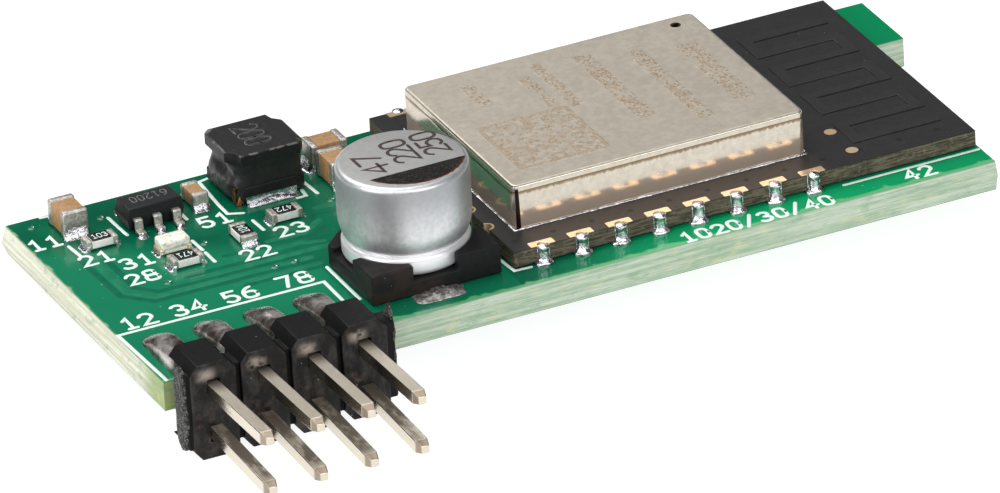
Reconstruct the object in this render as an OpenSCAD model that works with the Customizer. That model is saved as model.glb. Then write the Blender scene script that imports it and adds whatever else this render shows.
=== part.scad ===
// Wireless add-on board: a green carrier board with a plug-in pin header, a 3.3 V
// step-down supply and a castellated radio module under a metal shield.
// Built with the carrier's top face at z = 0 and its near left corner at x = 0, y = 0,
// then moved so that the whole part stands on z = 0, centred on the origin.

/* [Carrier board] */
// Width of the board
board_w = 18.1; // [18.1:0.1:24]
// Thickness of the board
board_t = 1.5; // [1.2:0.1:1.8]
// Width of each tongue beside the antenna notch
tongue_w = 4.4; // [3:0.1:5]
// How far the far tongue runs past the near one
tongue_extra = 2.1; // [0:0.1:6]
// Length of the notch under the antenna
notch_l = 6.6; // [4.5:0.1:8]
// Radius of the notch's inner corners
notch_r = 0.8; // [0.4:0.1:1.5]
// How far the snapped left edge bulges out at its far end
snap_bulge = 0.28; // [0.1:0.05:0.5]
// Bulge of the snapped right end of the near tongue
end_bulge = 0.12; // [0.05:0.01:0.3]

/* [Pin header] */
// Distance between neighbouring pins and between the two rows
pin_pitch = 2.54; // [2.2:0.02:2.6]
// Side of the square pins
pin_side = 0.64; // [0.5:0.02:0.7]
// Free length of the pins in front of the plastic body
pin_free_l = 6.25; // [4:0.05:9]
// Length of the pin tails that lie on the board
pin_tail_l = 3.0; // [2:0.1:3.2]
// Length of the sloped faces at each pin's tip
pin_tip_l = 0.5; // [0.2:0.05:0.8]
// Amount taken off each side at a pin's tip
pin_tip_cut = 0.13; // [0.05:0.01:0.2]
// Depth of the plastic body along the pins
header_depth = 2.54; // [2:0.02:3]
// Height of the plastic body over both rows
header_h = 4.85; // [4.6:0.05:5.2]
// Width of one segment of the plastic body
segment_w = 2.26; // [1.8:0.02:2.4]
// Sideways size of the chamfers on a segment's corners
segment_cut_x = 0.37; // [0.2:0.01:0.5]
// Upright size of the chamfers on a segment's corners
segment_cut_z = 0.47; // [0.3:0.01:0.7]
// Setback of the webs that join the segments
web_setback = 0.3; // [0.1:0.05:0.5]
// Thickness of the webs
web_t = 1.2; // [0.8:0.05:1.3]
// Depth of the recess behind the segments, where the pins cross to the board
back_recess = 0.65; // [0.2:0.05:0.8]
// Length of the broken-off web at the left end
stub_left_l = 0.14; // [0.1:0.02:0.3]
// Length of the broken-off web at the right end
stub_right_l = 0.5; // [0.1:0.05:1]
// Distance of the first pin from the board's left edge
header_x = 1.45; // [1.4:0.05:2]
// Height of the header's middle above the board's middle
header_lift = 0.08; // [-0.05:0.01:0.1]

/* [Header solder] */
// Radius of the solder on each pin tail
tail_solder_r = 0.74; // [0.7:0.01:0.8]
// Length of the solder along each tail
tail_solder_l = 4.5; // [4:0.1:4.8]
// Slope of the solder towards its far end, in degrees
tail_solder_slope = 7; // [3:0.5:8]

/* [Radio module] */
// Length of the module board
module_l = 24; // [24:0.5:26]
// Width of the module board
module_w = 16; // [15.6:0.1:16.2]
// Thickness of the module board
module_t = 0.8; // [0.6:0.1:1]
// Gap between the module and the far edge of the carrier
module_far_gap = 0.42; // [0.2:0.02:0.6]
// Gap between the module's antenna end and the near tongue's end
module_end_gap = 0.15; // [0:0.01:0.4]
// Distance between the edge contacts
contact_pitch = 2; // [1.8:0.02:2.05]
// Number of contacts on each long side
side_contacts = 8; // [4:1:8]
// Number of contacts on the short side
end_contacts = 6; // [2:1:6]
// Distance of the first side contact from the module's left end
contact_start = 1.5; // [1.2:0.1:2]
// Length of a contact's copper bar along the edge
contact_w = 0.95; // [0.7:0.05:1.2]
// Depth of a contact's copper bar from the edge
contact_d = 0.76; // [0.5:0.02:0.9]
// Radius of a contact's half hole
contact_r = 0.35; // [0.2:0.01:0.38]
// Thickness of the copper on the module
copper_t = 0.05; // [0.03:0.01:0.06]
// Width of the antenna track
track_w = 0.6; // [0.3:0.05:0.7]
// Gap between the shield and the antenna track
track_shield_gap = 2.4; // [1:0.1:4]
// Gap between the antenna track and the module's right end
track_end_gap = 0.9; // [0.5:0.1:2]
// Distance between neighbouring runs of the antenna track
track_pitch = 1.7; // [1.4:0.05:1.9]

/* [Shield] */
// Length of the shield
shield_l = 15.15; // [14.5:0.05:15.4]
// Width of the shield
shield_w = 12.1; // [11.8:0.05:12.3]
// Height of the shield above the module board
shield_h = 2.28; // [2.1:0.02:3]
// Thickness of the shield's sheet metal
shield_t = 0.2; // [0.1:0.02:0.24]
// Outer radius of the shield's bends
shield_r = 0.32; // [0.25:0.01:0.5]
// Gap between the shield and the module's left end
shield_end_gap = 0.96; // [0.94:0.02:1.2]
// Diameter of the vent hole in the shield's top
vent_d = 0.5; // [0.3:0.05:1]
// Distance of the vent hole from the shield's right end
vent_end_gap = 1.25; // [0.9:0.05:2]
// Distance of the vent hole from the shield's far side
vent_side_gap = 0.9; // [0.9:0.05:2]

/* [Parts under the shield] */
// Side of the square radio chip
radio_side = 5; // [4:0.5:6]
// Height of the radio chip
radio_h = 0.85; // [0.7:0.05:1]
// Length of the memory chip
memory_l = 4.9; // [4.5:0.1:5.2]
// Width of the memory chip's body
memory_w = 3.9; // [3.5:0.1:4]
// Height of the memory chip
memory_h = 1.5; // [1.2:0.05:1.7]
// Length of the crystal
crystal_l = 3.2; // [2.5:0.1:3.4]
// Width of the crystal
crystal_w = 2.5; // [2:0.1:2.6]
// Height of the crystal
crystal_h = 0.7; // [0.5:0.05:0.9]
// Length of the small chips beside the radio chip
tiny_l = 1; // [0.6:0.05:1.1]
// Width of the small chips
tiny_w = 0.5; // [0.3:0.05:0.6]
// Height of the small chips
tiny_h = 0.35; // [0.25:0.05:0.5]
// Number of small chips
tiny_count = 10; // [4:1:12]

/* [Electrolytic capacitor] */
// Diameter of the can
can_d = 6.3; // [5.8:0.1:6.4]
// Height of the can's top above the carrier
can_top = 5.4; // [4.6:0.1:7]
// Height of the rolled bead at the can's foot
bead_h = 1; // [0.8:0.05:1.1]
// Height of the neck over the bead
neck_h = 1.12; // [0.8:0.02:1.3]
// Side of the square plastic base
base_side = 6.6; // [6.5:0.1:6.8]
// Thickness of the base's floor
base_floor = 0.7; // [0.6:0.05:0.8]
// Height of the two near corner posts
near_post_h = 1.5; // [1.2:0.05:1.7]
// Height of the two far corner posts
far_post_h = 1.05; // [0.9:0.05:1.5]
// Size of the chamfers on the base's far corners
base_cut = 1.7; // [0.8:0.1:1.8]
// Width of the corner posts
post_w = 2.15; // [1.8:0.05:2.3]
// Gap between the last pin's solder and the base
base_header_gap = 1.58; // [1.2:0.02:12]
// Gap between the base and the module
base_module_gap = 0.66; // [0.4:0.02:1]
// Gap between the base and the carrier's near edge
base_edge_gap = 1.67; // [1.2:0.01:2]
// Width of the flat leads under the base
can_lead_w = 0.7; // [0.5:0.05:1.2]
// Thickness of the flat leads
can_lead_t = 0.15; // [0.1:0.01:0.25]
// How far each lead reaches past the base
can_lead_reach = 0.7; // [0.4:0.05:0.75]
// Width of the solder under each lead
can_pad_w = 2.6; // [1.6:0.1:3]

/* [Inductor] */
// Length of the ferrite core along the board
core_l = 3.75; // [3.2:0.05:4]
// Width of the ferrite core
core_w = 3.45; // [3:0.05:3.6]
// Height of the ferrite core
core_h = 2.4; // [2.1:0.05:3]
// Thickness of the core's two flanges
flange_t = 0.6; // [0.4:0.05:0.7]
// Diameter of the post between the flanges
core_post_d = 1.6; // [1.2:0.1:2]
// Distance of the core's middle from the left side of the capacitor's base
core_base_step = 0.53; // [0.4:0.01:0.7]
// Gap between the core and the board's far edge
core_edge_gap = 0.45; // [0.3:0.05:0.6]
// Thickness of the inductor's terminals
terminal_t = 0.1; // [0.05:0.01:0.15]
// Width of the inductor's terminals
terminal_w = 2.6; // [2:0.1:2.8]

/* [Regulator] */
// Length of the regulator's body
reg_l = 2.9; // [2.6:0.05:3]
// Width of the regulator's body
reg_w = 1.6; // [1.4:0.05:1.8]
// Height of the regulator's body
reg_h = 1.1; // [0.9:0.05:1.2]
// Distance between neighbouring leads
reg_pitch = 0.98; // [0.9:0.01:1]
// Width of each lead
reg_lead_w = 0.4; // [0.3:0.02:0.5]
// Span over the tips of the leads
reg_span = 2.84; // [2.7:0.02:3]
// Thickness of the leads
reg_lead_t = 0.15; // [0.1:0.01:0.2]
// Distance of the regulator's middle from the board's left edge
reg_x = 6.1; // [6:0.02:6.2]
// Distance of the regulator's middle from the board's far edge
reg_edge_gap = 2.95; // [2.8:0.05:3.1]

/* [Chip parts] */
// Length of the large chip capacitors
big_chip_l = 1.9; // [1.7:0.05:2]
// Width of the large chip capacitors
big_chip_w = 1.25; // [1.1:0.05:1.3]
// Height of the large chip capacitors
big_chip_h = 1.28; // [1:0.02:1.4]
// Length of the small chip capacitor
small_chip_l = 1.5; // [1.3:0.05:1.6]
// Width and height of the small chip capacitor
small_chip_w = 0.8; // [0.7:0.02:0.9]
// Length of the chip resistors
resistor_l = 1.6; // [1.4:0.05:1.7]
// Width of the chip resistors
resistor_w = 0.8; // [0.7:0.02:0.86]
// Height of the chip resistors
resistor_h = 0.45; // [0.35:0.05:0.6]
// Thickness of the metal on the chips' ends
end_t = 0.04; // [0.02:0.01:0.06]
// Length of the metal ends as a share of a chip's length
end_share = 0.2; // [0.15:0.01:0.28]

/* [Light-emitting diode] */
// Length of the diode
led_l = 1.6; // [1.5:0.05:1.7]
// Width of the diode
led_w = 0.8; // [0.7:0.02:0.84]
// Thickness of the diode's base
led_base_h = 0.25; // [0.15:0.05:0.35]
// Height of the diode's clear lens above its base
led_lens_h = 0.35; // [0.2:0.05:0.5]
// Length of the diode's clear lens
led_lens_l = 1.1; // [0.9:0.05:1.2]

/* [Solder] */
// Thickness of the solder film under every soldered part
film_t = 0.06; // [0.03:0.01:0.1]
// Radius of the solder fillets at the chips' ends
fillet_r = 0.32; // [0.2:0.02:0.36]

/* [Hidden] */

// Heights above the carrier's top face.
header_mid = -board_t / 2 + header_lift;
header_bottom = header_mid - header_h / 2;
upper_pin_z = header_mid + pin_pitch / 2;
lower_pin_z = header_mid - pin_pitch / 2;
module_z = film_t + copper_t;
module_top = module_z + module_t;
base_top = film_t + base_floor;
core_z = film_t + terminal_t;
reg_z = film_t + 0.04;

// Places on the carrier. Its length is the sum of what lies along its near edge.
header_columns = 4;
base_left = header_x + (header_columns - 1) * pin_pitch + tail_solder_r + base_header_gap;
module_x = base_left + base_side + base_module_gap;
board_l = module_x + module_l + module_end_gap;
module_y = board_w - module_far_gap - module_w;
shield_x = module_x + shield_end_gap;
shield_y = module_y + (module_w - shield_w) / 2;
can_x = base_left + base_side / 2;
can_y = base_edge_gap + base_side / 2;
core_x = base_left + core_base_step;
core_y = board_w - core_edge_gap - core_w / 2;
reg_y = board_w - reg_edge_gap;
web_h = header_h - 2 * segment_cut_z;
end_contact_start = (module_w - (end_contacts - 1) * contact_pitch) / 2;

// Each chip: its name, its middle, its turn and its size.
big_chip = [big_chip_l, big_chip_w, big_chip_h];
small_chip = [small_chip_l, small_chip_w, small_chip_w];
resistor = [resistor_l, resistor_w, resistor_h];
output_y = board_w - 1.9;
output_gap = fillet_r + 0.02;
filter_y = output_y - big_chip_w / 2 - output_gap - big_chip_l / 2;
capacitors = [
    ["input_capacitor", [2.44, board_w - 1.83], 90, big_chip],
    ["bypass_capacitor", [reg_x + 2.5, board_w - 2.55], 90, small_chip],
    ["output_capacitor", [module_x - 3.02, output_y], 0, big_chip],
    ["filter_capacitor", [module_x - 3.28, filter_y], 90, big_chip]];
resistors = [
    ["resistor_1", [3.02, board_w - 4.1], 0, resistor],
    ["resistor_2", [base_left - 2.31, board_w - 7], 90, resistor],
    ["resistor_3", [core_x - 0.32, core_y - core_w / 2 - 2.2], 0, resistor],
    ["resistor_4", [reg_x - 0.4, reg_y - 5], 180, resistor]];
led_place = ["led", [reg_x - 0.33, reg_y - 3.37], 0, [led_l, led_w, led_base_h]];
chips = concat(capacitors, resistors, [led_place]);

// The part's own box, from which its origin is worked out.
x_min = -snap_bulge;
x_max = board_l + max(tongue_extra, end_bulge);
y_min = -header_depth - pin_free_l;
y_max = board_w;

// Radii of the can at its bead and neck, and of its bends.
bead_r = can_d / 2 - 0.11;
neck_r = can_d / 2 - 0.28;
bend_r = 0.3;

// The inductor's winding and its wire.
coil_r = min(core_l, core_w) / 2 - 0.3;
coil_h = core_h - 2 * flange_t;
wire_d = 0.2;

// Thickness of a solder fillet at its toe.
toe_t = 0.03;

// Middles of the parts under the shield, from that space's near left corner.
radio_place = [10.6, 6.4];
memory_place = [3.6, 6.2];
crystal_place = [11, 1.8];
tiny_place = [0.9, 1];

// Stands the part on z = 0 with its middle over the origin.
module on_floor() {
    translate([-(x_min + x_max) / 2, -(y_min + y_max) / 2, -header_bottom]) children();
}

// Runs a flat outline, drawn in x and z, from y0 along +Y.
module along_y(y0, length) {
    translate([0, y0 + length, 0]) rotate([90, 0, 0]) linear_extrude(length) children();
}

// Runs a flat outline, drawn in y and z, from x0 along +X.
module along_x(x0, length) {
    translate([x0, 0, 0]) rotate([90, 0, 90]) linear_extrude(length) children();
}

// A block with its middle at the origin in x and y, standing on z = 0.
module block(size) {
    translate([-size.x / 2, -size.y / 2, 0]) cube(size);
}

// Points of an arc with the given middle and radius.
function arc(x, y, r, from, to, steps = 6) =
    [for (i = [0:steps]) let (a = from + (to - from) * i / steps) [x + r * cos(a), y + r * sin(a)]];

// ---- Carrier board ----

// A slot open at its right end, with round inner corners.
module notch_outline(length, width) {
    translate([notch_r, 0]) square([length, width]);
    translate([0, notch_r]) square([length, width - 2 * notch_r]);
    for (y = [notch_r, width - notch_r]) translate([notch_r, y]) circle(notch_r, $fn = 48);
}

module board_outline() {
    far_tongue_y = board_w - tongue_w;
    difference() {
        square([board_l + tongue_extra, board_w]);
        translate([board_l, -1]) square([tongue_extra + 1, far_tongue_y + 1]);
        translate([board_l - notch_l, tongue_w])
            notch_outline(notch_l + tongue_extra + 1, far_tongue_y - tongue_w);
    }
}

// The ridge left where the board was snapped off, growing towards the far end.
module snapped_edge() {
    rotate([0, 0, atan(snap_bulge / board_w)]) along_y(0, board_w)
        polygon([[0, -0.55 * board_t], [snap_bulge, 0], [snap_bulge, -board_t]]);
}

module snapped_end() {
    along_y(0, tongue_w)
        polygon([[board_l, 0], [board_l + end_bulge, -board_t / 2], [board_l, -board_t]]);
}

module main_board() {
    color("seagreen") union() {
        translate([0, 0, -board_t]) linear_extrude(board_t) board_outline();
        snapped_edge();
        snapped_end();
    }
}

// ---- Pin header ----

function pin_x(column) = header_x + (column - 1) * pin_pitch;

module segment_outline() {
    w = segment_w / 2;
    h = header_h / 2;
    polygon([[-w, segment_cut_z - h], [segment_cut_x - w, -h],
        [w - segment_cut_x, -h], [w, segment_cut_z - h],
        [w, h - segment_cut_z], [w - segment_cut_x, h],
        [segment_cut_x - w, h], [-w, h - segment_cut_z]]);
}

module header_body() {
    web_left = pin_x(1) - segment_w / 2 - stub_left_l;
    web_l = pin_x(header_columns) + segment_w / 2 + stub_right_l - web_left;
    color("#26262a") difference() {
        union() {
            for (column = [1:header_columns]) translate([pin_x(column), 0, header_mid])
                along_y(-header_depth, header_depth) segment_outline();
            translate([web_left, web_setback - header_depth, header_mid - web_h / 2])
                cube([web_l, web_t, web_h]);
        }
        translate([web_left, -back_recess, header_mid - web_h / 2]) cube([web_l, back_recess + 1, web_h]);
        for (column = [1:header_columns], z = [upper_pin_z, lower_pin_z])
            translate([pin_x(column), 0, z]) along_y(-header_depth - 1, header_depth + 2)
                square(pin_side, center = true);
    }
}

// The pin's outline from above and from the side: a bar with a tapered tip at -Y.
module pin_side_view() {
    s = pin_side / 2;
    tip = s - pin_tip_cut;
    front = -header_depth - pin_free_l;
    polygon([[-tip, front], [tip, front], [s, front + pin_tip_l], [s, pin_tail_l],
        [-s, pin_tail_l], [-s, front + pin_tip_l]]);
}

module header_pin(column, z) {
    color("#c9bda6") translate([pin_x(column), 0, z]) intersection() {
        translate([0, 0, -pin_side]) linear_extrude(2 * pin_side) pin_side_view();
        translate([-pin_side, 0, 0]) rotate([0, 90, 0]) linear_extrude(2 * pin_side) pin_side_view();
    }
}

// Solder over one pin tail, lying on z = 0. pin_top is the pin's top above the board.
module tail_solder(pin_top) {
    axis_z = pin_top + 0.08 - tail_solder_r;
    run = (tail_solder_l - tail_solder_r - 0.15) / cos(tail_solder_slope);
    intersection() {
        translate([0, 0.15, axis_z]) rotate([-90 - tail_solder_slope, 0, 0]) {
            cylinder(h = run, r = tail_solder_r, $fn = 48);
            translate([0, 0, run]) sphere(tail_solder_r, $fn = 48);
        }
        translate([-2, 0.02, 0]) cube([4, board_w, 3]);
    }
}

module header_solder_top() {
    color("#9b9690") difference() {
        for (column = [1:header_columns]) translate([pin_x(column), 0, 0])
            tail_solder(upper_pin_z + pin_side / 2);
        for (column = [1:header_columns]) header_pin(column, upper_pin_z);
    }
}

module header_solder_bottom() {
    color("#9b9690") difference() {
        for (column = [1:header_columns]) translate([pin_x(column), 0, -board_t]) mirror([0, 0, 1])
            tail_solder(pin_side / 2 - lower_pin_z - board_t);
        for (column = [1:header_columns]) header_pin(column, lower_pin_z);
    }
}

// ---- Radio module ----

// Puts its children at each side contact, with the board lying on the +Y side.
module at_side_contacts() {
    for (i = [0:side_contacts - 1]) {
        x = module_x + contact_start + i * contact_pitch;
        translate([x, module_y, 0]) children();
        translate([x, module_y + module_w, 0]) rotate([0, 0, 180]) children();
    }
}

module at_end_contacts() {
    for (i = [0:end_contacts - 1])
        translate([module_x, module_y + end_contact_start + i * contact_pitch, 0])
            rotate([0, 0, -90]) children();
}

module module_board() {
    color("#2c2c30") difference() {
        translate([module_x, module_y, module_z]) cube([module_l, module_w, module_t]);
        at_side_contacts() cylinder(h = 4, r = contact_r, $fn = 32);
        at_end_contacts() cylinder(h = 4, r = contact_r, $fn = 32);
    }
}

// One gilt contact: a bar above and below the module board and a lining in the half hole.
module contact() {
    intersection() {
        difference() {
            union() {
                for (z = [module_z - copper_t, module_top]) translate([-contact_w / 2, -1, z])
                    cube([contact_w, contact_d + 1, copper_t]);
                translate([0, 0, module_z]) cylinder(h = module_t, r = contact_r, $fn = 32);
            }
            translate([0, 0, -1]) cylinder(h = 4, r = contact_r - copper_t, $fn = 32);
        }
        translate([-contact_w, 0, -1]) cube([2 * contact_w, 2, 5]);
    }
}

module module_contacts() {
    color("#e3b57a") {
        at_side_contacts() contact();
        at_end_contacts() contact();
    }
}

// Solder that fills a half hole and runs down to a foot on the carrier.
module contact_solder() {
    column_r = contact_r - copper_t;
    foot_r = min(contact_r + 0.15, module_far_gap);
    cylinder(h = module_top, r = column_r, $fn = 32);
    translate([-contact_w / 2, 0, 0]) cube([contact_w, contact_d, film_t]);
    intersection() {
        cylinder(h = 0.5, r1 = foot_r, r2 = column_r, $fn = 32);
        translate([-1, -1, 0]) cube([2, 1, 1]);
    }
}

module module_solder() {
    color("#d8d8dc") at_side_contacts() contact_solder();
}

// A folded track: straight runs along X, joined at alternate ends.
module antenna_track() {
    run_x = shield_x + shield_l + track_shield_gap;
    run_l = module_x + module_l - track_end_gap - run_x;
    first_y = module_y + (module_w - 7 * track_pitch) / 2;
    color("#3a3a3f") translate([run_x, first_y, module_top]) linear_extrude(copper_t) for (i = [0:7]) {
        translate([0, i * track_pitch - track_w / 2]) square([run_l, track_w]);
        join_x = (i % 2 == 0) ? 0 : run_l - track_w;
        if (i < 7) translate([join_x, i * track_pitch]) square([track_w, track_pitch]);
    }
}

// A block on z = 0 with round upright edges and a round top edge.
module soft_block(size, r) {
    span = [size.x - 2 * r, size.y - 2 * r, size.z - r];
    translate([r, 0, 0]) cube([span.x, size.y, span.z]);
    translate([0, r, 0]) cube([size.x, span.y, span.z]);
    translate([r, r, 0]) cube([span.x, span.y, size.z]);
    for (x = [r, size.x - r], y = [r, size.y - r]) {
        translate([x, y, 0]) cylinder(h = span.z, r = r, $fn = 32);
        translate([x, y, span.z]) sphere(r, $fn = 32);
    }
    for (y = [r, size.y - r]) translate([r, y, span.z]) rotate([0, 90, 0])
        cylinder(h = span.x, r = r, $fn = 32);
    for (x = [r, size.x - r]) translate([x, r, span.z]) rotate([-90, 0, 0])
        cylinder(h = span.y, r = r, $fn = 32);
}

module shield_can() {
    inner = [shield_l - 2 * shield_t, shield_w - 2 * shield_t, shield_h - shield_t];
    color("#b9b3a8") translate([shield_x, shield_y, module_top]) difference() {
        soft_block([shield_l, shield_w, shield_h], shield_r);
        translate([shield_t, shield_t, 0]) cube(inner);
        translate([shield_l - vent_end_gap, shield_w - vent_side_gap, 0])
            cylinder(h = shield_h + 1, d = vent_d, $fn = 32);
    }
}

// Places its children in the space under the shield, measured from that space's near left corner.
module under_shield(place) {
    translate([shield_x + shield_t + place.x, shield_y + shield_t + place.y, module_top]) children();
}

module radio_chip() {
    color("#303034") under_shield(radio_place) block([radio_side, radio_side, radio_h]);
}

module memory_chip() {
    lead_reach = 0.9;
    lead_pitch = 1.2;
    color("#303034") under_shield(memory_place) {
        block([memory_w, memory_l, memory_h]);
        for (i = [-1.5:1.5]) translate([0, i * lead_pitch, 0])
            block([memory_w + 2 * lead_reach, 0.4, 0.2]);
    }
}

module crystal() {
    color("#c8c8cc") under_shield(crystal_place) block([crystal_l, crystal_w, crystal_h]);
}

module module_chips() {
    columns = 6;
    color("#b08050") for (i = [0:tiny_count - 1])
        under_shield(tiny_place + [1.2 * (i % columns), 1.4 * floor(i / columns)])
            block([tiny_w, tiny_l, tiny_h]);
}

// ---- Electrolytic capacitor ----

// Half of the can's outline: bead, neck, wall and round shoulder.
function can_outline() = concat(
    [[0, base_top]],
    arc(bead_r - bend_r, base_top + bend_r, bend_r, -90, 0),
    arc(bead_r - bend_r, base_top + bead_h - bend_r, bend_r, 0, 70),
    [for (i = [0:8])
        [neck_r + (can_d / 2 - neck_r) * sin(i * 90 / 8), base_top + bead_h + 0.06 + i * neck_h / 8]],
    arc(can_d / 2 - bend_r, can_top - bend_r, bend_r, 0, 90),
    [[0, can_top]]);

module capacitor_can() {
    color("#c4c6c8") translate([can_x, can_y, 0]) rotate_extrude($fn = 96) polygon(can_outline());
}

// The base from above, with its two far corners cut off.
module base_outline() {
    s = base_side / 2;
    polygon([[-s, -s], [s, -s], [s, s - base_cut],
        [s - base_cut, s], [base_cut - s, s], [-s, s - base_cut]]);
}

// The lead's strip under the base and its tab up to the can, for the side at -Y.
module can_lead() {
    tab_y = 0.8;
    strip_l = base_side / 2 + can_lead_reach - tab_y;
    translate([-can_lead_w / 2, -base_side / 2 - can_lead_reach, film_t])
        cube([can_lead_w, strip_l, can_lead_t]);
    translate([-can_lead_w / 2, -tab_y - can_lead_t, film_t]) cube([can_lead_w, can_lead_t, base_floor]);
}

module capacitor_lead(turn) {
    color("#bdbdc0") translate([can_x, can_y, 0]) rotate([0, 0, turn]) can_lead();
}

module capacitor_base() {
    corner = base_side / 2 - post_w;
    color("#26262a") difference() {
        translate([can_x, can_y, film_t]) {
            linear_extrude(base_floor) base_outline();
            for (side = [-1, 1], end = [-1, 1]) linear_extrude(end < 0 ? near_post_h : far_post_h)
                difference() {
                    intersection() {
                        base_outline();
                        translate([side * (corner + post_w), end * (corner + post_w)])
                            square(2 * post_w, center = true);
                    }
                    circle(bead_r + 0.04, $fn = 96);
                }
        }
        capacitor_lead(0);
        capacitor_lead(180);
    }
}

// ---- Inductor ----

// The flange seen from above, with its near left and far right corners notched for the wire.
module flange_outline(cut = 0) {
    x = core_l / 2 - cut;
    y = core_w / 2;
    notch = [[-0.46, 0], [-0.36, 0.5], [0, 0.9]];
    polygon([[-x, notch[2].y - y], [-x - notch[1].x, notch[1].y - y], [-x - notch[0].x, -y],
        [x - 0.28, -y], [x, 0.28 - y],
        [x, y - notch[2].y], [x + notch[1].x, y - notch[1].y], [x + notch[0].x, y],
        [0.28 - x, y], [-x, y - 0.28]]);
}

module at_core(z) {
    translate([core_x, core_y, core_z + z]) children();
}

module inductor_core() {
    color("#3a3a3c") {
        at_core(0) linear_extrude(flange_t) flange_outline();
        at_core(flange_t) cylinder(h = coil_h, d = core_post_d, $fn = 48);
        at_core(flange_t + coil_h) linear_extrude(flange_t) flange_outline();
    }
}

// The winding between the flanges, and its two wire ends that run down through the notches.
module inductor_coil() {
    wire_x = core_l / 2 - 0.12;
    wire_y = core_w / 2 - 0.22;
    color("#a8643c") difference() {
        union() {
            at_core(flange_t) cylinder(h = coil_h, r = coil_r, $fn = 64);
            for (turn = [0, 180]) at_core(0) rotate([0, 0, turn]) {
                translate([-wire_x, -wire_y, 0]) cylinder(h = flange_t + wire_d, d = wire_d, $fn = 24);
                translate([-wire_x, -wire_y, flange_t + wire_d / 2]) rotate([0, 90, 0])
                    cylinder(h = wire_x, d = wire_d, $fn = 24);
            }
        }
        at_core(flange_t - 1) cylinder(h = core_h + 2, d = core_post_d, $fn = 48);
    }
}

// Black resin that fills the space round the winding; it is drawn in on the left and right.
module inductor_resin() {
    color("#2a2a2c") difference() {
        at_core(flange_t) linear_extrude(coil_h) flange_outline(0.25);
        inductor_coil();
        inductor_core();
    }
}

// A strip under the core and a lip up its near face.
module inductor_terminal(turn) {
    lip_h = flange_t * 0.7 + terminal_t;
    color("#d0d0d2") translate([core_x, core_y, film_t]) rotate([0, 0, turn]) {
        translate([-terminal_w / 2, -core_w / 2 - terminal_t, 0]) cube([terminal_w, 0.9, terminal_t]);
        translate([-terminal_w / 2, -core_w / 2 - terminal_t, 0]) cube([terminal_w, terminal_t, lip_h]);
    }
}

// ---- Regulator ----

// A block whose four sides slope away from their middle height.
module drafted_block(size, draft) {
    intersection() {
        along_y(-size.y, 2 * size.y) drafted_outline(size.x, size.z, draft);
        along_x(-size.x, 2 * size.x) drafted_outline(size.y, size.z, draft);
    }
}

module drafted_outline(w, h, draft) {
    polygon([[draft - w / 2, 0], [w / 2 - draft, 0], [w / 2, h / 2], [w / 2 - draft, h],
        [draft - w / 2, h], [-w / 2, h / 2]]);
}

module at_regulator() {
    translate([reg_x, reg_y, 0]) children();
}

// One bent lead, seen from the side: out of the body at mid height, down, and out to its foot.
module regulator_lead() {
    out_z = reg_z + reg_h / 2 + reg_lead_t / 2;
    bend_y = reg_w / 2 + 0.24;
    tip_y = reg_span / 2;
    along_x(-reg_lead_w / 2, reg_lead_w) polygon([
        [reg_w / 2 - 0.12, out_z], [bend_y - 0.06, out_z], [bend_y, out_z - 0.06],
        [bend_y + 0.04, film_t + reg_lead_t], [tip_y, film_t + reg_lead_t], [tip_y, film_t],
        [bend_y - 0.08, film_t], [bend_y - reg_lead_t, out_z - reg_lead_t],
        [reg_w / 2 - 0.12, out_z - reg_lead_t]]);
}

module regulator_leads() {
    color("#c8c8cc") at_regulator() for (turn = [0, 180], i = [-1:1])
        rotate([0, 0, turn]) translate([i * reg_pitch, 0, 0]) regulator_lead();
}

module regulator_body() {
    color("#303034") difference() {
        at_regulator() translate([0, 0, reg_z]) drafted_block([reg_l, reg_w, reg_h], 0.1);
        regulator_leads();
    }
}

// ---- Chip parts ----

// Puts a part, drawn along X with its middle at the origin, at its place on the carrier.
module at_chip(chip) {
    translate([chip[1].x, chip[1].y, film_t]) rotate([0, 0, chip[2]]) children();
}

// The ceramic inside a chip capacitor's end caps.
module ceramic(size) {
    translate([0, 0, end_t]) block([size.x - 2 * end_t, size.y - 2 * end_t, size.z - 2 * end_t]);
}

module capacitor_body(chip) {
    color("#c8965f") at_chip(chip) ceramic(chip[3]);
}

module capacitor_ends(chip) {
    size = chip[3];
    color("#b4b0aa") at_chip(chip) difference() {
        for (side = [-1, 1]) translate([side * (1 - end_share) * size.x / 2, 0, 0])
            block([end_share * size.x, size.y, size.z]);
        ceramic(size);
    }
}

// A resistor's ceramic plate, between the clips on its ends.
module resistor_plate(size) {
    translate([0, 0, end_t]) block([size.x - 2 * end_t, size.y, size.z - 2 * end_t]);
}

module resistor_body(chip) {
    color("#dcdcd8") at_chip(chip) resistor_plate(chip[3]);
}

module resistor_ends(chip) {
    size = chip[3];
    color("#b4b0aa") at_chip(chip) difference() {
        for (side = [-1, 1]) translate([side * (1 - end_share) * size.x / 2, 0, 0])
            block([end_share * size.x, size.y, size.z]);
        resistor_plate(size);
    }
}

module resistor_glaze(chip) {
    size = chip[3];
    color("#1c1c20") at_chip(chip) translate([0, 0, size.z - end_t])
        block([(1 - 2 * end_share) * size.x, size.y - 0.06, end_t]);
}

// ---- Light-emitting diode ----

module led_base() {
    color("#e8e4d8") at_chip(led_place) resistor_plate(led_place[3]);
}

module led_ends() {
    size = led_place[3];
    color("#d8c8a0") at_chip(led_place) difference() {
        for (side = [-1, 1]) translate([side * (1 - end_share * 0.75) * size.x / 2, 0, 0])
            block([end_share * 0.75 * size.x, size.y, size.z]);
        resistor_plate(size);
    }
}

module led_lens() {
    foot = led_lens_l / 2;
    top = foot - 0.16;
    lens_h = led_lens_h + end_t;
    color("#f0ead8") at_chip(led_place) translate([0, 0, led_base_h - end_t])
        along_y(-led_w / 2, led_w) polygon([[-foot, 0], [foot, 0], [top, lens_h], [-top, lens_h]]);
}

// ---- Solder ----

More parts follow.
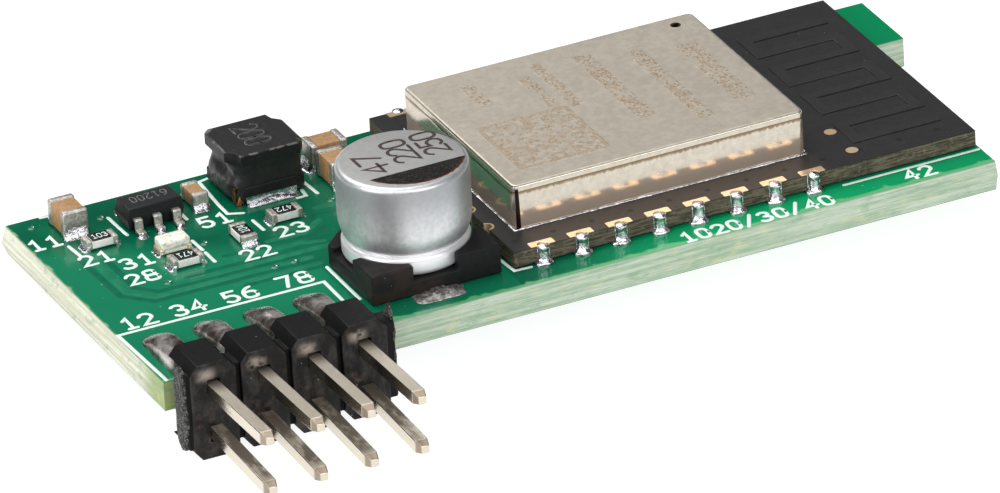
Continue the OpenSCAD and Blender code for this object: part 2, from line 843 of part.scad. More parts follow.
// A hollow-faced fillet rising to the left, drawn in x and z.
module fillet_outline(r) {
    difference() {
        square(r);
        translate([r + toe_t, r + toe_t]) circle(r, $fn = 48);
    }
}

// A film under one end of a part and the fillet in front of it; the end faces +X at x = 0.
module end_solder(depth, width, r) {
    translate([-depth, -width / 2, -film_t]) cube([depth + r, width, film_t]);
    along_y(-width / 2, width) fillet_outline(r);
}

module chip_solder() {
    color("#cfcfd2") for (chip = chips) at_chip(chip) for (turn = [0, 180]) rotate([0, 0, turn])
        translate([chip[3].x / 2, 0, 0])
            end_solder(end_share * 0.75 * chip[3].x, chip[3].y, min(fillet_r, chip[3].z));
}

// Solder under the regulator's feet, the inductor's terminals and the capacitor's leads.
module power_solder() {
    foot_l = reg_span / 2 - reg_w / 2 - 0.2;
    color("#cfcfd2") {
        at_regulator() for (turn = [90, -90], i = [-1:1])
            rotate([0, 0, turn]) translate([reg_span / 2, i * reg_pitch, film_t])
                end_solder(foot_l, reg_lead_w, reg_lead_t);
        translate([core_x, core_y, film_t]) for (turn = [90, -90]) rotate([0, 0, turn])
            translate([core_w / 2 + terminal_t, 0, 0]) end_solder(0.8, terminal_w, 0.3);
        translate([can_x, can_y, film_t]) for (turn = [90, -90]) rotate([0, 0, turn])
            translate([base_side / 2 + can_lead_reach, 0, 0])
                end_solder(can_lead_reach, can_pad_w, can_lead_t);
    }
}

on_floor() main_board();
on_floor() header_body();
for (i = [1:header_columns]) {
    on_floor() header_pin(i, upper_pin_z);
    on_floor() header_pin(i, lower_pin_z);
}
on_floor() header_solder_top();
on_floor() header_solder_bottom();
on_floor() module_board();
on_floor() module_contacts();
on_floor() module_solder();
on_floor() antenna_track();
on_floor() shield_can();
on_floor() radio_chip();
on_floor() memory_chip();
on_floor() crystal();
on_floor() module_chips();
on_floor() capacitor_can();
on_floor() capacitor_base();
on_floor() capacitor_lead(0);  // capacitor_lead_near
on_floor() capacitor_lead(180);  // capacitor_lead_far
on_floor() inductor_core();
on_floor() inductor_coil();
on_floor() inductor_resin();
on_floor() inductor_terminal(0);  // inductor_terminal_near
on_floor() inductor_terminal(180);  // inductor_terminal_far
on_floor() regulator_body();
on_floor() regulator_leads();
for (chip = capacitors) {
    on_floor() capacitor_body(chip);
    on_floor() capacitor_ends(chip);
}
for (chip = resistors) {
    on_floor() resistor_body(chip);
    on_floor() resistor_ends(chip);
    on_floor() resistor_glaze(chip);
}
on_floor() led_base();
on_floor() led_lens();
on_floor() led_ends();
on_floor() chip_solder();
on_floor() power_solder();
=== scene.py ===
"""Wireless add-on board: the looks of its carrier, pin header, supply parts, electrolytic
capacitor and shielded radio module. Lengths are millimetres on the carrier, whose top face is
z = 0 and whose near left corner is x = 0, y = 0; MM and ORIGIN turn them into the model's metres."""
import math

import bmesh
import bpy
import numpy as np
from mathutils import Matrix, Vector


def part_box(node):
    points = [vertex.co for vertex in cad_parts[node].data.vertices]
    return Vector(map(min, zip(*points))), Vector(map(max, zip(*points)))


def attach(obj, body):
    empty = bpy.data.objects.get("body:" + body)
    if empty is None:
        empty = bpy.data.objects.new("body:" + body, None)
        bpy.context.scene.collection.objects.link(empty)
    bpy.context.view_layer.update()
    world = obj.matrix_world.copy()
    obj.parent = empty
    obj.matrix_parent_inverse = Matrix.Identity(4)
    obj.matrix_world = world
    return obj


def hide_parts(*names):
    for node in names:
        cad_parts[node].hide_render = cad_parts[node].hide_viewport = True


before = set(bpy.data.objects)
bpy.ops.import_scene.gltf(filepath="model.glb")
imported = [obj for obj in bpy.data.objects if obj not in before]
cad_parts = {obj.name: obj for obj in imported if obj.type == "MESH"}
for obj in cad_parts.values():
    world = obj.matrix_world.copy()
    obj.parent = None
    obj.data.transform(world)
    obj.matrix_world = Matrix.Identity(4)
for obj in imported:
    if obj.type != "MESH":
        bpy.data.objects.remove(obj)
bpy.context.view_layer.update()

MM = 0.001
# How far the snapped left edge stands out beyond the carrier's corner.
SNAP = 0.28
carrier_low, carrier_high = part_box("main_board")
ORIGIN = np.array([carrier_low.x + SNAP * MM, carrier_low.y, carrier_high.z])
# The header's pitch and columns, then the pitch of the module's contacts, the first one's
# distance from the module's left end, and how many there are on a long side and on the left end.
PITCH, COLUMNS = 2.54, 4
CONTACT_PITCH, CONTACT_IN, SIDE_CONTACTS, END_CONTACTS = 2.0, 1.5, 8, 6
# Points closer together than this, in metres, are one point.
SAME = 1e-7
# The vent hole in the shield's top: its width, and its middle's distance from the far right corner.
VENT, VENT_IN = 0.5, np.array([1.25, 0.9])


def box_of(node):
    """Lowest and highest corner of a node, in millimetres on the carrier."""
    return [(np.array(corner) - ORIGIN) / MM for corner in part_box(node)]


def middle_of(node):
    """Middle of a node's box, in millimetres on the carrier."""
    return sum(box_of(node)) / 2


FIRST_PIN = middle_of("header_pin_upper_1")[0]
UNDERSIDE = box_of("main_board")[0][2]


# ---------------------------------------------------------------- shapes

def quads(rows, columns):
    """Faces of a grid that closes round its columns: each takes a point, the next one in its
    row, and the two after them in the next row."""
    i, j = np.meshgrid(np.arange(rows - 1), np.arange(columns), indexing="ij")
    k = (j + 1) % columns
    corners = [i * columns + j, i * columns + k, (i + 1) * columns + k, (i + 1) * columns + j]
    return np.stack(corners, -1).reshape(-1, 4)


def loft(rings):
    """A closed shell through rings of points, with both ends drawn to the ring's middle."""
    first = np.repeat(rings[:1].mean(1, keepdims=True), rings.shape[1], 1)
    last = np.repeat(rings[-1:].mean(1, keepdims=True), rings.shape[1], 1)
    rings = np.concatenate([first, rings, last])
    return rings.reshape(-1, 3), quads(len(rings), rings.shape[1])


def lathe(profile, centre, steps=96):
    """A profile of (radius, height) turned about an upright axis: x = r cos a, y = r sin a."""
    profile = np.asarray(profile, float)
    a = np.linspace(0, 2 * math.pi, steps, endpoint=False)
    r, z = profile[:, :1], profile[:, 1:]
    rings = np.stack([r * np.cos(a), r * np.sin(a), z + 0 * a], -1)
    return loft(rings + np.array([centre[0], centre[1], 0.0]))


def arc(x, y, rx, ry, start, end, steps=8):
    """Points of an ellipse's arc: x + rx cos a, y + ry sin a, for a from start to end degrees."""
    a = np.radians(np.linspace(start, end, steps + 1))
    return np.stack([x + rx * np.cos(a), y + ry * np.sin(a)], -1)


def outline(half_x, half_y, r, steps=4):
    """A rectangle with round corners of radius r, as quarter circles joined by straights."""
    corners = [(half_x - r, half_y - r, 0), (r - half_x, half_y - r, 90),
               (r - half_x, r - half_y, 180), (half_x - r, r - half_y, 270)]
    return np.concatenate([arc(x, y, r, r, a, a + 90, steps) for x, y, a in corners])


def block(low, high, r, steps=3):
    """A block with round edges: its outline is drawn in by r (1 - cos a) while its height
    goes r (1 - sin a) from the face, for a from 0 to 90 degrees, at its foot and its top."""
    low, high = np.asarray(low, float), np.asarray(high, float)
    half, centre = (high - low) / 2, (high + low) / 2
    r = min(r, *(half * 0.98))
    a = np.radians(np.linspace(0, 90, steps + 1))
    inset = np.concatenate([r * (1 - np.cos(a[::-1])), r * (1 - np.cos(a))])
    height = np.concatenate([low[2] + r * (1 - np.sin(a[::-1])), high[2] - r * (1 - np.sin(a))])
    rings = []
    for d, z in zip(inset, height):
        flat = outline(half[0] - d, half[1] - d, max(r - d, 0.15 * r))
        rings.append(np.column_stack([flat + centre[:2], np.full(len(flat), z)]))
    return loft(np.array(rings))


def ripple(x, y, seed, scale=1.0):
    """Smooth uneven height between about -1 and 1: four waves in seeded directions, summed."""
    rng = np.random.default_rng(seed)
    total = 0.0
    for size in (1.0, 1.7, 2.9, 4.6):
        kx, ky = rng.normal(0, size * scale, 2)
        total = total + np.sin(kx * x + ky * y + rng.uniform(0, 6.28)) / size
    return total / 2


def mound(centre, half_x, half_y, height, power=1.0, shape=2.0, seed=1, rough=0.06, foot=0.0,
          steps=40, rings=14):
    """A heap on the board. Its rim is the curve |x/a|^n + |y/b|^n = 1, pushed in and out by a
    ripple; its height falls as (1 - u^1.6)^power for u from 0 in the middle to 1 at the rim."""
    a = np.linspace(0, 2 * math.pi, steps, endpoint=False)
    c, s = np.cos(a), np.sin(a)
    reach = (np.abs(c / half_x) ** shape + np.abs(s / half_y) ** shape) ** (-1 / shape)
    reach = reach * (1 + rough * ripple(2 * c, 2 * s, seed))
    u = np.linspace(0.02, 1, rings)[:, None]
    x, y = u * reach * c, u * reach * s
    z = height * (1 - u ** 1.6) ** power * (1 + rough * ripple(3 * x, 3 * y, seed + 9, 2.0))
    top = np.stack([x + centre[0], y + centre[1], z + foot], -1)
    rim = top[-1:].copy()
    rim[..., 2] = foot - 0.01
    return loft(np.concatenate([top, rim]))


def fillet(start, out, half_width, reach, height, seed=1, rough=0.1, foot=0.0, steps=26):
    """Solder in front of a chip's end. Its slope falls as height (1 - v)^2.1 while v goes from
    the end's face out to the toe; across, both fall off at the corners as (1 - |u|^6)^0.5."""
    out = np.asarray(out, float)
    across = np.array([-out[1], out[0]])
    u = np.linspace(-0.999, 0.999, steps)[:, None]
    v = np.linspace(0, 1, 12)
    corner = np.sqrt(1 - np.abs(u) ** 6)
    toe = reach * corner * (1 + rough * ripple(5 * u, 0 * u, seed, 1.5))
    crest = height * (0.45 + 0.55 * corner) * (1 + rough * ripple(4 * u, 0 * u, seed + 3, 1.5))
    lump = 1 + rough * ripple(5 * u, 4 * v, seed + 7, 1.5) * v * (1 - v) * 4
    distance = np.concatenate([-0.12 + 0 * u, -0.12 + 0 * u, toe * v, toe, 0 * u], 1)
    under = 0 * u - 0.01
    z = np.concatenate([under, crest, crest * (1 - v) ** 2.1 * lump + 0.012, under, under], 1)
    flat = np.asarray(start) + (u * half_width * across)[:, None] + distance[..., None] * out
    return loft(np.concatenate([flat, (z + foot)[..., None]], -1))


def ribbon(points, width, height, foot=0.0):
    """A raised line of ink: a low hump carried along a path. Over the last half width at each
    end the hump narrows as cos a while it reaches on by sin a, which rounds the end."""
    points = np.asarray(points, float)
    step = np.diff(points, axis=0)
    step /= np.linalg.norm(step, axis=1, keepdims=True)
    along = np.concatenate([step[:1], step[:-1] + step[1:], step[-1:]])
    along /= np.linalg.norm(along, axis=1, keepdims=True)
    before = np.concatenate([step[:1], step])
    spread = 1 / np.clip((along * before).sum(1), 0.5, 1)
    a = np.radians([90, 60, 30])
    heads = points[0] - along[0] * np.sin(a)[:, None] * width / 2
    tails = points[-1] + along[-1] * np.sin(a[::-1])[:, None] * width / 2
    track = np.concatenate([heads, points, tails])
    along = np.concatenate([np.repeat(along[:1], 3, 0), along, np.repeat(along[-1:], 3, 0)])
    half = width / 2 * np.concatenate([np.cos(a), spread, np.cos(a[::-1])])
    side = np.stack([-along[:, 1], along[:, 0]], -1)
    hump = np.array([[1, 0], [0.72, 1], [-0.72, 1], [-1, 0]])
    flat = track[:, None] + side[:, None] * (half[:, None] * hump[:, 0])[..., None]
    z = np.broadcast_to(foot + height * hump[:, 1], flat.shape[:2])
    return loft(np.concatenate([flat, z[..., None]], -1))


def wire(path, radius, steps=12):
    """A round bar carried along a path in space: each ring is r (n cos a + b sin a), with n
    and b square to the path's direction."""
    path = np.asarray(path, float)
    along = np.gradient(path, axis=0)
    along /= np.linalg.norm(along, axis=1, keepdims=True)
    lead = np.array([0.31, 0.17, 0.94])
    n = np.cross(along, lead)
    n /= np.linalg.norm(n, axis=1, keepdims=True)
    b = np.cross(along, n)
    a = np.linspace(0, 2 * math.pi, steps, endpoint=False)
    radius = np.broadcast_to(np.asarray(radius, float), (len(path),))[:, None, None]
    rings = path[:, None] + radius * (n[:, None] * np.cos(a)[:, None] + b[:, None] * np.sin(a)[:, None])
    return loft(rings)


# ---------------------------------------------------------------- numbers

def loop(x, y, rx, ry, steps=18):
    """A closed rounded loop: x + rx cos a and y + ry sin a, with each cosine and sine raised to
    the power 0.7 to square it a little."""
    a = np.linspace(0, 2 * math.pi, steps + 1)
    c, s = np.cos(a), np.sin(a)
    return np.stack([x + rx * np.sign(c) * np.abs(c) ** 0.7, y + ry * np.sign(s) * np.abs(s) ** 0.7], -1)


def joined(*parts):
    """One line through several runs of points."""
    return np.concatenate([np.asarray(part, float) for part in parts])


# Runs of points of each sign, in a field DIGIT_W wide and 1 tall. The slash reaches past it.
DIGIT_W = 0.62
DIGITS = {
    "0": [loop(0.31, 0.5, 0.29, 0.5)],
    "1": [[(0.13, 0.8), (0.34, 1.0), (0.34, 0.0)], [(0.14, 0.0), (0.54, 0.0)]],
    "2": [joined(arc(0.31, 0.72, 0.29, 0.28, 165, -35), [(0.02, 0.0), (0.62, 0.0)])],
    "3": [arc(0.29, 0.76, 0.27, 0.24, 150, -90), arc(0.29, 0.26, 0.31, 0.26, 90, -150)],
    "4": [[(0.44, 0.0), (0.44, 1.0), (0.02, 0.32), (0.62, 0.32)]],
    "5": [joined([(0.56, 1.0), (0.1, 1.0), (0.06, 0.56)], arc(0.29, 0.31, 0.31, 0.31, 115, -145))],
    "6": [arc(0.6, 0.34, 0.58, 0.66, 100, 170), loop(0.31, 0.29, 0.29, 0.29)],
    "7": [[(0.02, 1.0), (0.6, 1.0), (0.22, 0.0)]],
    "8": [loop(0.31, 0.75, 0.25, 0.25), loop(0.31, 0.26, 0.3, 0.26)],
    "9": [arc(0.02, 0.66, 0.58, 0.66, -80, -10), loop(0.31, 0.71, 0.29, 0.29)],
    "/": [[(0.0, -0.08), (0.56, 1.08)]],
    " ": [],
}


def figures(text, centre, height, stroke, foot, thick=0.012, read=(1, 0), narrow=1.0, gap=0.27):
    """Ribbons of a row of digits with its middle at centre. read is the direction in which the
    row runs; the digits stand a quarter turn to its left."""
    read = np.asarray(read, float)
    up = np.array([-read[1], read[0]])
    wide = DIGIT_W * narrow
    step = wide + gap
    start = -(step * len(text) - gap) / 2
    parts = []
    for place_in_row, sign in enumerate(text):
        for over, line in enumerate(DIGITS[sign]):
            line = np.asarray(line, float)
            across = (start + place_in_row * step + line[:, :1] * narrow) * height
            upward = (line[:, 1:] - 0.5) * height
            parts.append(ribbon(np.asarray(centre) + across * read + upward * up, stroke,
                                thick * (1 + 0.3 * over), foot))
    return parts


# ---------------------------------------------------------------- finishes

def paint(red, green, blue):
    """A colour given as 0 to 255 on a screen, turned into light: ((c + 0.055) / 1.055)^2.4."""
    light = [c / 12.92 if c <= 0.04045 else ((c + 0.055) / 1.055) ** 2.4
             for c in (red / 255, green / 255, blue / 255)]
    return (*light, 1.0)


class Number:
    """A number that varies over a surface; arithmetic on it adds the nodes that work it out."""

    def __init__(self, finish, socket):
        self.finish, self.socket = finish, socket

    def math(self, operation, *terms):
        """The result of a maths node on these terms."""
        values = {i: term for i, term in enumerate(terms)}
        made = self.finish.node("ShaderNodeMath", {"operation": operation}, values)
        return Number(self.finish, made.outputs[0])

    def __add__(self, other):
        return self.math("ADD", self, other)

    def __radd__(self, other):
        return self.math("ADD", other, self)

    def __sub__(self, other):
        return self.math("SUBTRACT", self, other)

    def __rsub__(self, other):
        return self.math("SUBTRACT", other, self)

    def __mul__(self, other):
        return self.math("MULTIPLY", self, other)

    def __rmul__(self, other):
        return self.math("MULTIPLY", other, self)

    def __pow__(self, other):
        return self.math("POWER", self, other)

    def __abs__(self):
        return self.math("ABSOLUTE", self)

    def most(self, other):
        """The larger of two numbers."""
        return self.math("MAXIMUM", self, other)

    def wave(self):
        """Its sine, in radians."""
        return self.math("SINE", self)

    def within(self, period):
        """What is left after whole periods are taken off."""
        return self.math("FLOORED_MODULO", self, period)

    def rise(self, start, end):
        """0 below start, 1 above end, smooth between; start above end makes it fall."""
        made = self.finish.node("ShaderNodeMapRange", {"interpolation_type": "SMOOTHSTEP"},
                                {0: self, 1: start, 2: end, 3: 0.0, 4: 1.0})
        return Number(self.finish, made.outputs[0])

    def band(self, low, high, soft):
        """1 between low and high, 0 outside, with soft flanks."""
        return self.rise(low - soft, low + soft) * self.rise(high + soft, high - soft)


class Finish:
    """A material in the making. x, y and z are millimetres on the carrier."""

    def __init__(self, name, metal=0.0, rough=0.5, ior=1.5, **fixed):
        self.material = bpy.data.materials.new(name)
        self.material.use_nodes = True
        self.tree = self.material.node_tree
        self.tree.nodes.clear()
        self.shader = self.tree.nodes.new("ShaderNodeBsdfPrincipled")
        output = self.tree.nodes.new("ShaderNodeOutputMaterial")
        self.tree.links.new(output.inputs["Surface"], self.shader.outputs[0])
        self.set(Metallic=metal, Roughness=rough, IOR=ior, **fixed)
        coordinates = self.node("ShaderNodeTexCoord").outputs["Object"]
        self.spot = self.node("ShaderNodeMapping", {}, {
            "Vector": coordinates, "Location": tuple(-ORIGIN / MM), "Scale": (1 / MM,) * 3}).outputs[0]
        parts = self.node("ShaderNodeSeparateXYZ", {}, {0: self.spot}).outputs
        self.x, self.y, self.z = (Number(self, part) for part in parts)

    def node(self, kind, settings=None, values=None):
        """Adds a node. Its settings go in first, then the values or links of its sockets."""
        made = self.tree.nodes.new(kind)
        for key, value in (settings or {}).items():
            setattr(made, key, value)
        for key, value in (values or {}).items():
            self.feed(made.inputs[key], value)
        return made

    def feed(self, socket, value):
        """Links a number's node or another node's output to a socket, or sets a plain value."""
        value = getattr(value, "socket", value)
        if isinstance(value, bpy.types.NodeSocket):
            self.tree.links.new(socket, value)
        else:
            socket.default_value = value

    def set(self, **sockets):
        """Sets or links the shader's own sockets; a low line in a name stands for a space."""
        for key, value in sockets.items():
            self.feed(self.shader.inputs[key.replace("_", " ")], value)
        return self

    def stretched(self, stretch, shift=0.0):
        """The place on the surface, scaled along x, y and z."""
        return self.node("ShaderNodeMapping", {}, {
            "Vector": self.spot, "Location": (shift,) * 3, "Scale": stretch}).outputs[0]

    def noise(self, scale, detail=2.0, rough=0.5, stretch=(1, 1, 1), shift=0.0, place=None):
        """Cloudy noise around 0.5, with scale clouds to the millimetre."""
        place = place or self.stretched(stretch, shift)
        made = self.node("ShaderNodeTexNoise", {}, {
            "Vector": place, "Scale": scale, "Detail": detail, "Roughness": rough})
        return Number(self, made.outputs[0])

    def specks(self, scale, size, shift=0.0, stretch=(1, 1, 1)):
        """Small round spots at scattered places: 1 inside size of a cell's own point."""
        made = self.node("ShaderNodeTexVoronoi", {"feature": "F1"}, {
            "Vector": self.stretched(stretch, shift), "Scale": scale, "Randomness": 1.0})
        return Number(self, made.outputs["Distance"]).rise(size, size * 0.4)

    def mix(self, share, first, second):
        """The colour that goes from first to second as share goes from 0 to 1."""
        made = self.node("ShaderNodeMix", {"data_type": "RGBA"}, {0: share, 6: first, 7: second})
        return made.outputs[2]

    def lane(self, along, up, shift=0.0):
        """A place made of two numbers, for streaks that run along an edge."""
        return self.node("ShaderNodeCombineXYZ", {}, {0: along, 1: up, 2: shift}).outputs[0]

    def steps(self, size):
        """A random number for each cell of a grid with cells of that size."""
        snapped = self.node("ShaderNodeVectorMath", {"operation": "SNAP"}, {0: self.spot, 1: size})
        made = self.node("ShaderNodeTexWhiteNoise", {"noise_dimensions": "2D"}, {
            "Vector": snapped.outputs[0]})
        return Number(self, made.outputs[0])

    def relief(self, height):
        """Leans the surface as a relief of that many millimetres would."""
        bump = self.node("ShaderNodeBump", {}, {"Strength": 1.0, "Distance": MM, "Height": height})
        return self.set(Normal=bump.outputs[0])


def carrier_finish():
    """Green mask over copper and over bare laminate; snapped glass fibre along the edges."""
    f = Finish("carrier laminate", rough=0.3, Specular_IOR_Level=0.36)
    x, y, z = f.x, f.y, f.z
    edge = z.band(UNDERSIDE + 0.015, -0.018, 0.006)
    # Lighter where copper lies under the mask, darker where the laminate is bare.
    cloud = f.noise(0.35, 3)
    supply = x.rise(11.2, 10.9) * (y + 0.55 * x).rise(16.2, 13.8)
    pour = supply.most(y.rise(5.5, 5.2) * x.rise(10.6, 10.4) * 0.4)
    pour = pour.most(x.rise(10.9, 11.1) * y.rise(14.5, 14.3) * x.rise(18.4, 18.2) * 0.45)
    mask = f.mix(pour, paint(0, 92, 65), paint(20, 122, 87))
    mask = f.mix(cloud.rise(0.42, 0.72) * 0.5, mask, paint(8, 118, 84))
    right = x.rise(18.0, 30.0) * y.rise(4.0, 2.0)
    mask = f.mix(right * 0.9, mask, paint(0, 156, 97))
    mask = f.mix(x.rise(33.0, 41.0) * 0.8, mask, paint(0, 138, 86))
    # The mask thins out to pale laminate along the cut edges.
    ragged = f.noise(1.2, 3, 0.55, (0.6, 0.6, 1)).rise(0.46, 0.72) * 0.3 + f.noise(6, 2) * 0.14
    near = (y - ragged).rise(0.2, 0.0)
    left = (x - ragged * 0.5).rise(0.06, -0.14)
    mask = f.mix(near * 0.7, mask, paint(112, 184, 130))
    mask = f.mix(left * 0.8, mask, paint(170, 200, 156))
    dust = f.specks(0.9, 0.05).most(f.specks(1.7, 0.055, 5.0) * 0.7)
    mask = f.mix(dust * 0.5, mask, paint(190, 220, 200))
    # Fibre streaks run along the edges; x + y is the distance along either of them.
    run = x + y * 0.93
    coarse = f.lane(run * 0.16, z * 5.5)
    fine = f.lane(run * 1.1, z * 17.0, 3.0)
    streak = f.noise(1.0, 3, 0.55, place=coarse)
    thread = f.noise(1.0, 4, 0.6, place=fine)
    fibre = f.mix(streak.rise(0.36, 0.66), paint(152, 178, 150), paint(190, 204, 186))
    fibre = f.mix(thread.rise(0.5, 0.7) * 0.55, fibre, paint(214, 216, 200))
    fibre = f.mix(thread.rise(0.47, 0.3) * 0.4, fibre, paint(122, 154, 120))
    cream = f.mix(streak.rise(0.4, 0.62), paint(204, 204, 182), paint(226, 228, 210))
    cream = f.mix(thread.rise(0.46, 0.3) * 0.5, cream, paint(168, 170, 142))
    fibre = f.mix(x.rise(0.35, 0.1) * y.rise(0.5, 3.0), fibre, cream)
    olive = x.rise(3.2, 1.0) * y.rise(2.8, 0.8)
    fibre = f.mix(olive * 0.7, fibre, paint(158, 172, 96))
    blot = f.noise(0.9, 4, 0.62, (1, 1, 1.6), 9.0)
    fibre = f.mix(blot.rise(0.52, 0.7) * 0.5, fibre, paint(206, 206, 160))
    fibre = f.mix(blot.rise(0.44, 0.3) * 0.45, fibre, paint(118, 158, 124))
    fibre = f.mix(z.rise(-0.12, -0.02) * 0.6, fibre, paint(84, 150, 108))
    f.set(Base_Color=f.mix(edge, mask, fibre))
    f.set(Roughness=0.12 + edge * 0.5 + cloud * 0.08)
    weave = (x * 9.0).wave() * (y * 9.0).wave() * 0.0006
    fibres = edge * (thread * 0.03 + streak * 0.03)
    return f.relief(weave + f.noise(5, 2) * 0.003 + fibres + dust * 0.012)


def ink_finish():
    """White printing ink, thin in places."""
    f = Finish("white ink", rough=0.5)
    worn = f.noise(6, 3, 0.6).rise(0.56, 0.78)
    f.set(Base_Color=f.mix(worn * 0.45, paint(226, 240, 232), paint(150, 200, 176)))
    return f.relief(f.noise(14, 2) * 0.004)


def mask_finish(name, low, high):
    """Green mask in one shade: darker over a gap in the copper, lighter over a track."""
    f = Finish(name, rough=0.18)
    f.set(Base_Color=f.mix(f.noise(1.2, 2).rise(0.35, 0.7), low, high))
    return f.relief(f.noise(8, 2) * 0.002)


def in_column(x):
    """Distance of a place from the middle of the header column that it lies in."""
    return (x - FIRST_PIN + PITCH / 2).within(PITCH) - PITCH / 2


def header_finish():
    """Black nylon: near-black above; the front faces round the pins are scuffed and dusty, with a painted
    reflection that makes them lighter and browner.
    """
    f = Finish("black nylon", rough=0.55, Specular_IOR_Level=0.16)
    z = f.z
    front = f.y.rise(-2.40, -2.47)
    u = in_column(f.x)
    pale_patch = (u.band(-0.75, 0.0, 0.3) * z.band(0.95, 1.45, 0.25)) * f.noise(2.6, 2).rise(0.3, 0.6)
    scuff = f.noise(1.6, 4, 0.62, (1, 1, 0.6)).rise(0.42, 0.7)
    column = u.band(-1.0, 0.25, 0.25) * z.band(-2.6, -0.4, 0.5)
    column = column * f.noise(1.3, 3, 0.6, shift=4.0).rise(0.45, 0.7)
    colour = f.mix(f.noise(9, 3).rise(0.4, 0.8) * 0.4, paint(10, 10, 11), paint(22, 22, 24))
    # Painted reflection over real scuffs: the front faces are painted lighter and browner round the pins,
    # with pale patches beside them.
    face = f.mix(scuff, paint(26, 25, 25), paint(56, 54, 52))
    face = f.mix(column * 0.45, face, paint(112, 98, 88))
    face = f.mix(pale_patch * 0.8, face, paint(170, 158, 148))
    colour = f.mix(front, colour, face)
    dust = f.specks(1.5, 0.045, 2.0)
    f.set(Base_Color=f.mix(dust * 0.8, colour, paint(220, 220, 222)))
    f.set(Roughness=0.5 - front * 0.14 + scuff * 0.1)
    return f.relief(f.noise(16, 3) * 0.006 + (z * 30).wave() * front * 0.0012 + dust * 0.01)


def broken_finish():
    """Torn nylon where the strip was broken off: grey fibres standing out of black."""
    f = Finish("torn nylon", rough=0.7)
    torn = f.noise(7, 5, 0.7, (1, 1, 0.7))
    colour = f.mix(torn.rise(0.44, 0.66), paint(26, 26, 27), paint(112, 110, 108))
    f.set(Base_Color=f.mix(f.noise(16, 2).rise(0.58, 0.7) * 0.8, colour, paint(196, 194, 190)))
    return f.relief(torn * 0.3 + f.noise(20, 3) * 0.06)


def pin_finish():
    """Nickel plating drawn along the pin: clean and bright down its left side, duller above, darker
    and browner near the body, and painted shade, dark mottled brown, on the lower row's tops."""
    f = Finish("nickel plate", metal=0.88, rough=0.24, Specular_IOR_Level=0.12)
    y, z = f.y, f.z
    drawn = f.noise(5, 3, 0.6, (3.5, 0.12, 3.5))
    # Darker and browner near the body.
    darker_near_body = y.rise(-3.9, -2.9) * f.noise(2.2, 3, 0.6).rise(0.3, 0.65)
    left = in_column(f.x).rise(-0.295, -0.312)
    mottle = f.noise(0.9, 4, 0.62, (1.4, 0.5, 1), 3.0)
    # Painted shade: the lower row's tops, under the upper row, are painted dark mottled brown and less
    # metallic.
    lower_top = z.rise(-1.70, -1.64) * z.rise(-0.6, -1.0) * y.rise(-8.7, -7.6)
    lower_row_shade = lower_top * mottle.rise(0.34, 0.56) * (1 - left)
    tip = y.rise(-8.25, -8.4) * y.rise(-8.77, -8.72)
    colour = f.mix(drawn, paint(214, 202, 182), paint(234, 226, 210))
    colour = f.mix(lower_row_shade * 0.85, colour, paint(64, 54, 45))
    colour = f.mix(tip * 0.6, colour, paint(104, 72, 52))
    f.set(Base_Color=f.mix(darker_near_body * 0.45, colour, paint(120, 104, 88)))
    f.set(Roughness=0.3 + drawn * 0.14 + darker_near_body * 0.1 - left * 0.22,
          Metallic=0.88 - lower_row_shade * 0.5 + left * 0.12)
    return f.relief(drawn * 0.006 + f.noise(12, 2) * 0.0015)


def solder_finish(name, low, high, rough, pits, grain=5.0, metal=1.0):
    """Tin solder with a skin of soft dents; a dull one is less of a mirror."""
    f = Finish(name, metal=metal, rough=rough)
    skin = f.noise(grain, 3, 0.55)
    f.set(Base_Color=f.mix(skin.rise(0.35, 0.68), low, high))
    f.set(Roughness=rough + skin.rise(0.4, 0.8) * 0.18)
    return f.relief(skin * pits + f.noise(grain * 4, 2) * pits * 0.15)


def module_finish():
    """Near-black mask on the module, with the folded track standing up through it; olive
    laminate on its edges."""
    f = Finish("black laminate", rough=0.5, Specular_IOR_Level=0.3)
    x, y, z = f.x, f.y, f.z
    low = box_of("module_board")[0]
    edge = z.band(0.125, 0.893, 0.006)
    dust = f.specks(1.6, 0.05).most(f.specks(3.1, 0.05, 3.0) * 0.6)
    top = f.mix(f.noise(1.5, 4, 0.6), paint(26, 26, 27), paint(38, 38, 39))
    top = f.mix(f.noise(2.0, 4, 0.7, (0.35, 4.0, 1)).rise(0.55, 0.8) * 0.3, top, paint(62, 62, 64))
    brown = y.rise(3.9, 3.3) * x.rise(35.5, 34.0) * x.rise(low[0] + 0.7, low[0] + 1.6)
    top = f.mix(brown * 0.6, top, paint(74, 62, 54))
    # Plugged holes between the contacts, and a few more nearer the shield.
    step = (x - low[0] - CONTACT_IN).within(CONTACT_PITCH) - CONTACT_PITCH / 2
    row = (step * step + (y - low[1] - 1.02) ** 2.0) ** 0.5
    pits = row.rise(0.17, 0.12).most(f.specks(1.4, 0.12, 8.0, (1, 1.3, 1)) * brown)
    top = f.mix(pits * y.rise(low[1] + 2.0, low[1] + 1.8) * 0.85, top, paint(10, 9, 9))
    top = f.mix(dust * 0.75, top, paint(158, 158, 160))
    layer = f.noise(1.0, 3, 0.6, place=f.lane((x + y) * 0.9, z * 9.0))
    side = f.mix(layer.rise(0.38, 0.66), paint(62, 57, 46), paint(112, 105, 88))
    side = f.mix(f.noise(5, 4, 0.65).rise(0.5, 0.7) * 0.4, side, paint(140, 132, 112))
    side = f.mix(z.rise(0.84, 0.9), side, paint(40, 38, 34))
    f.set(Base_Color=f.mix(edge, top, side))
    f.set(Roughness=0.42 + edge * 0.25 + f.noise(3, 3) * 0.12)
    return f.relief(f.noise(7, 3) * 0.006 + edge * layer * 0.04 + dust * 0.012)


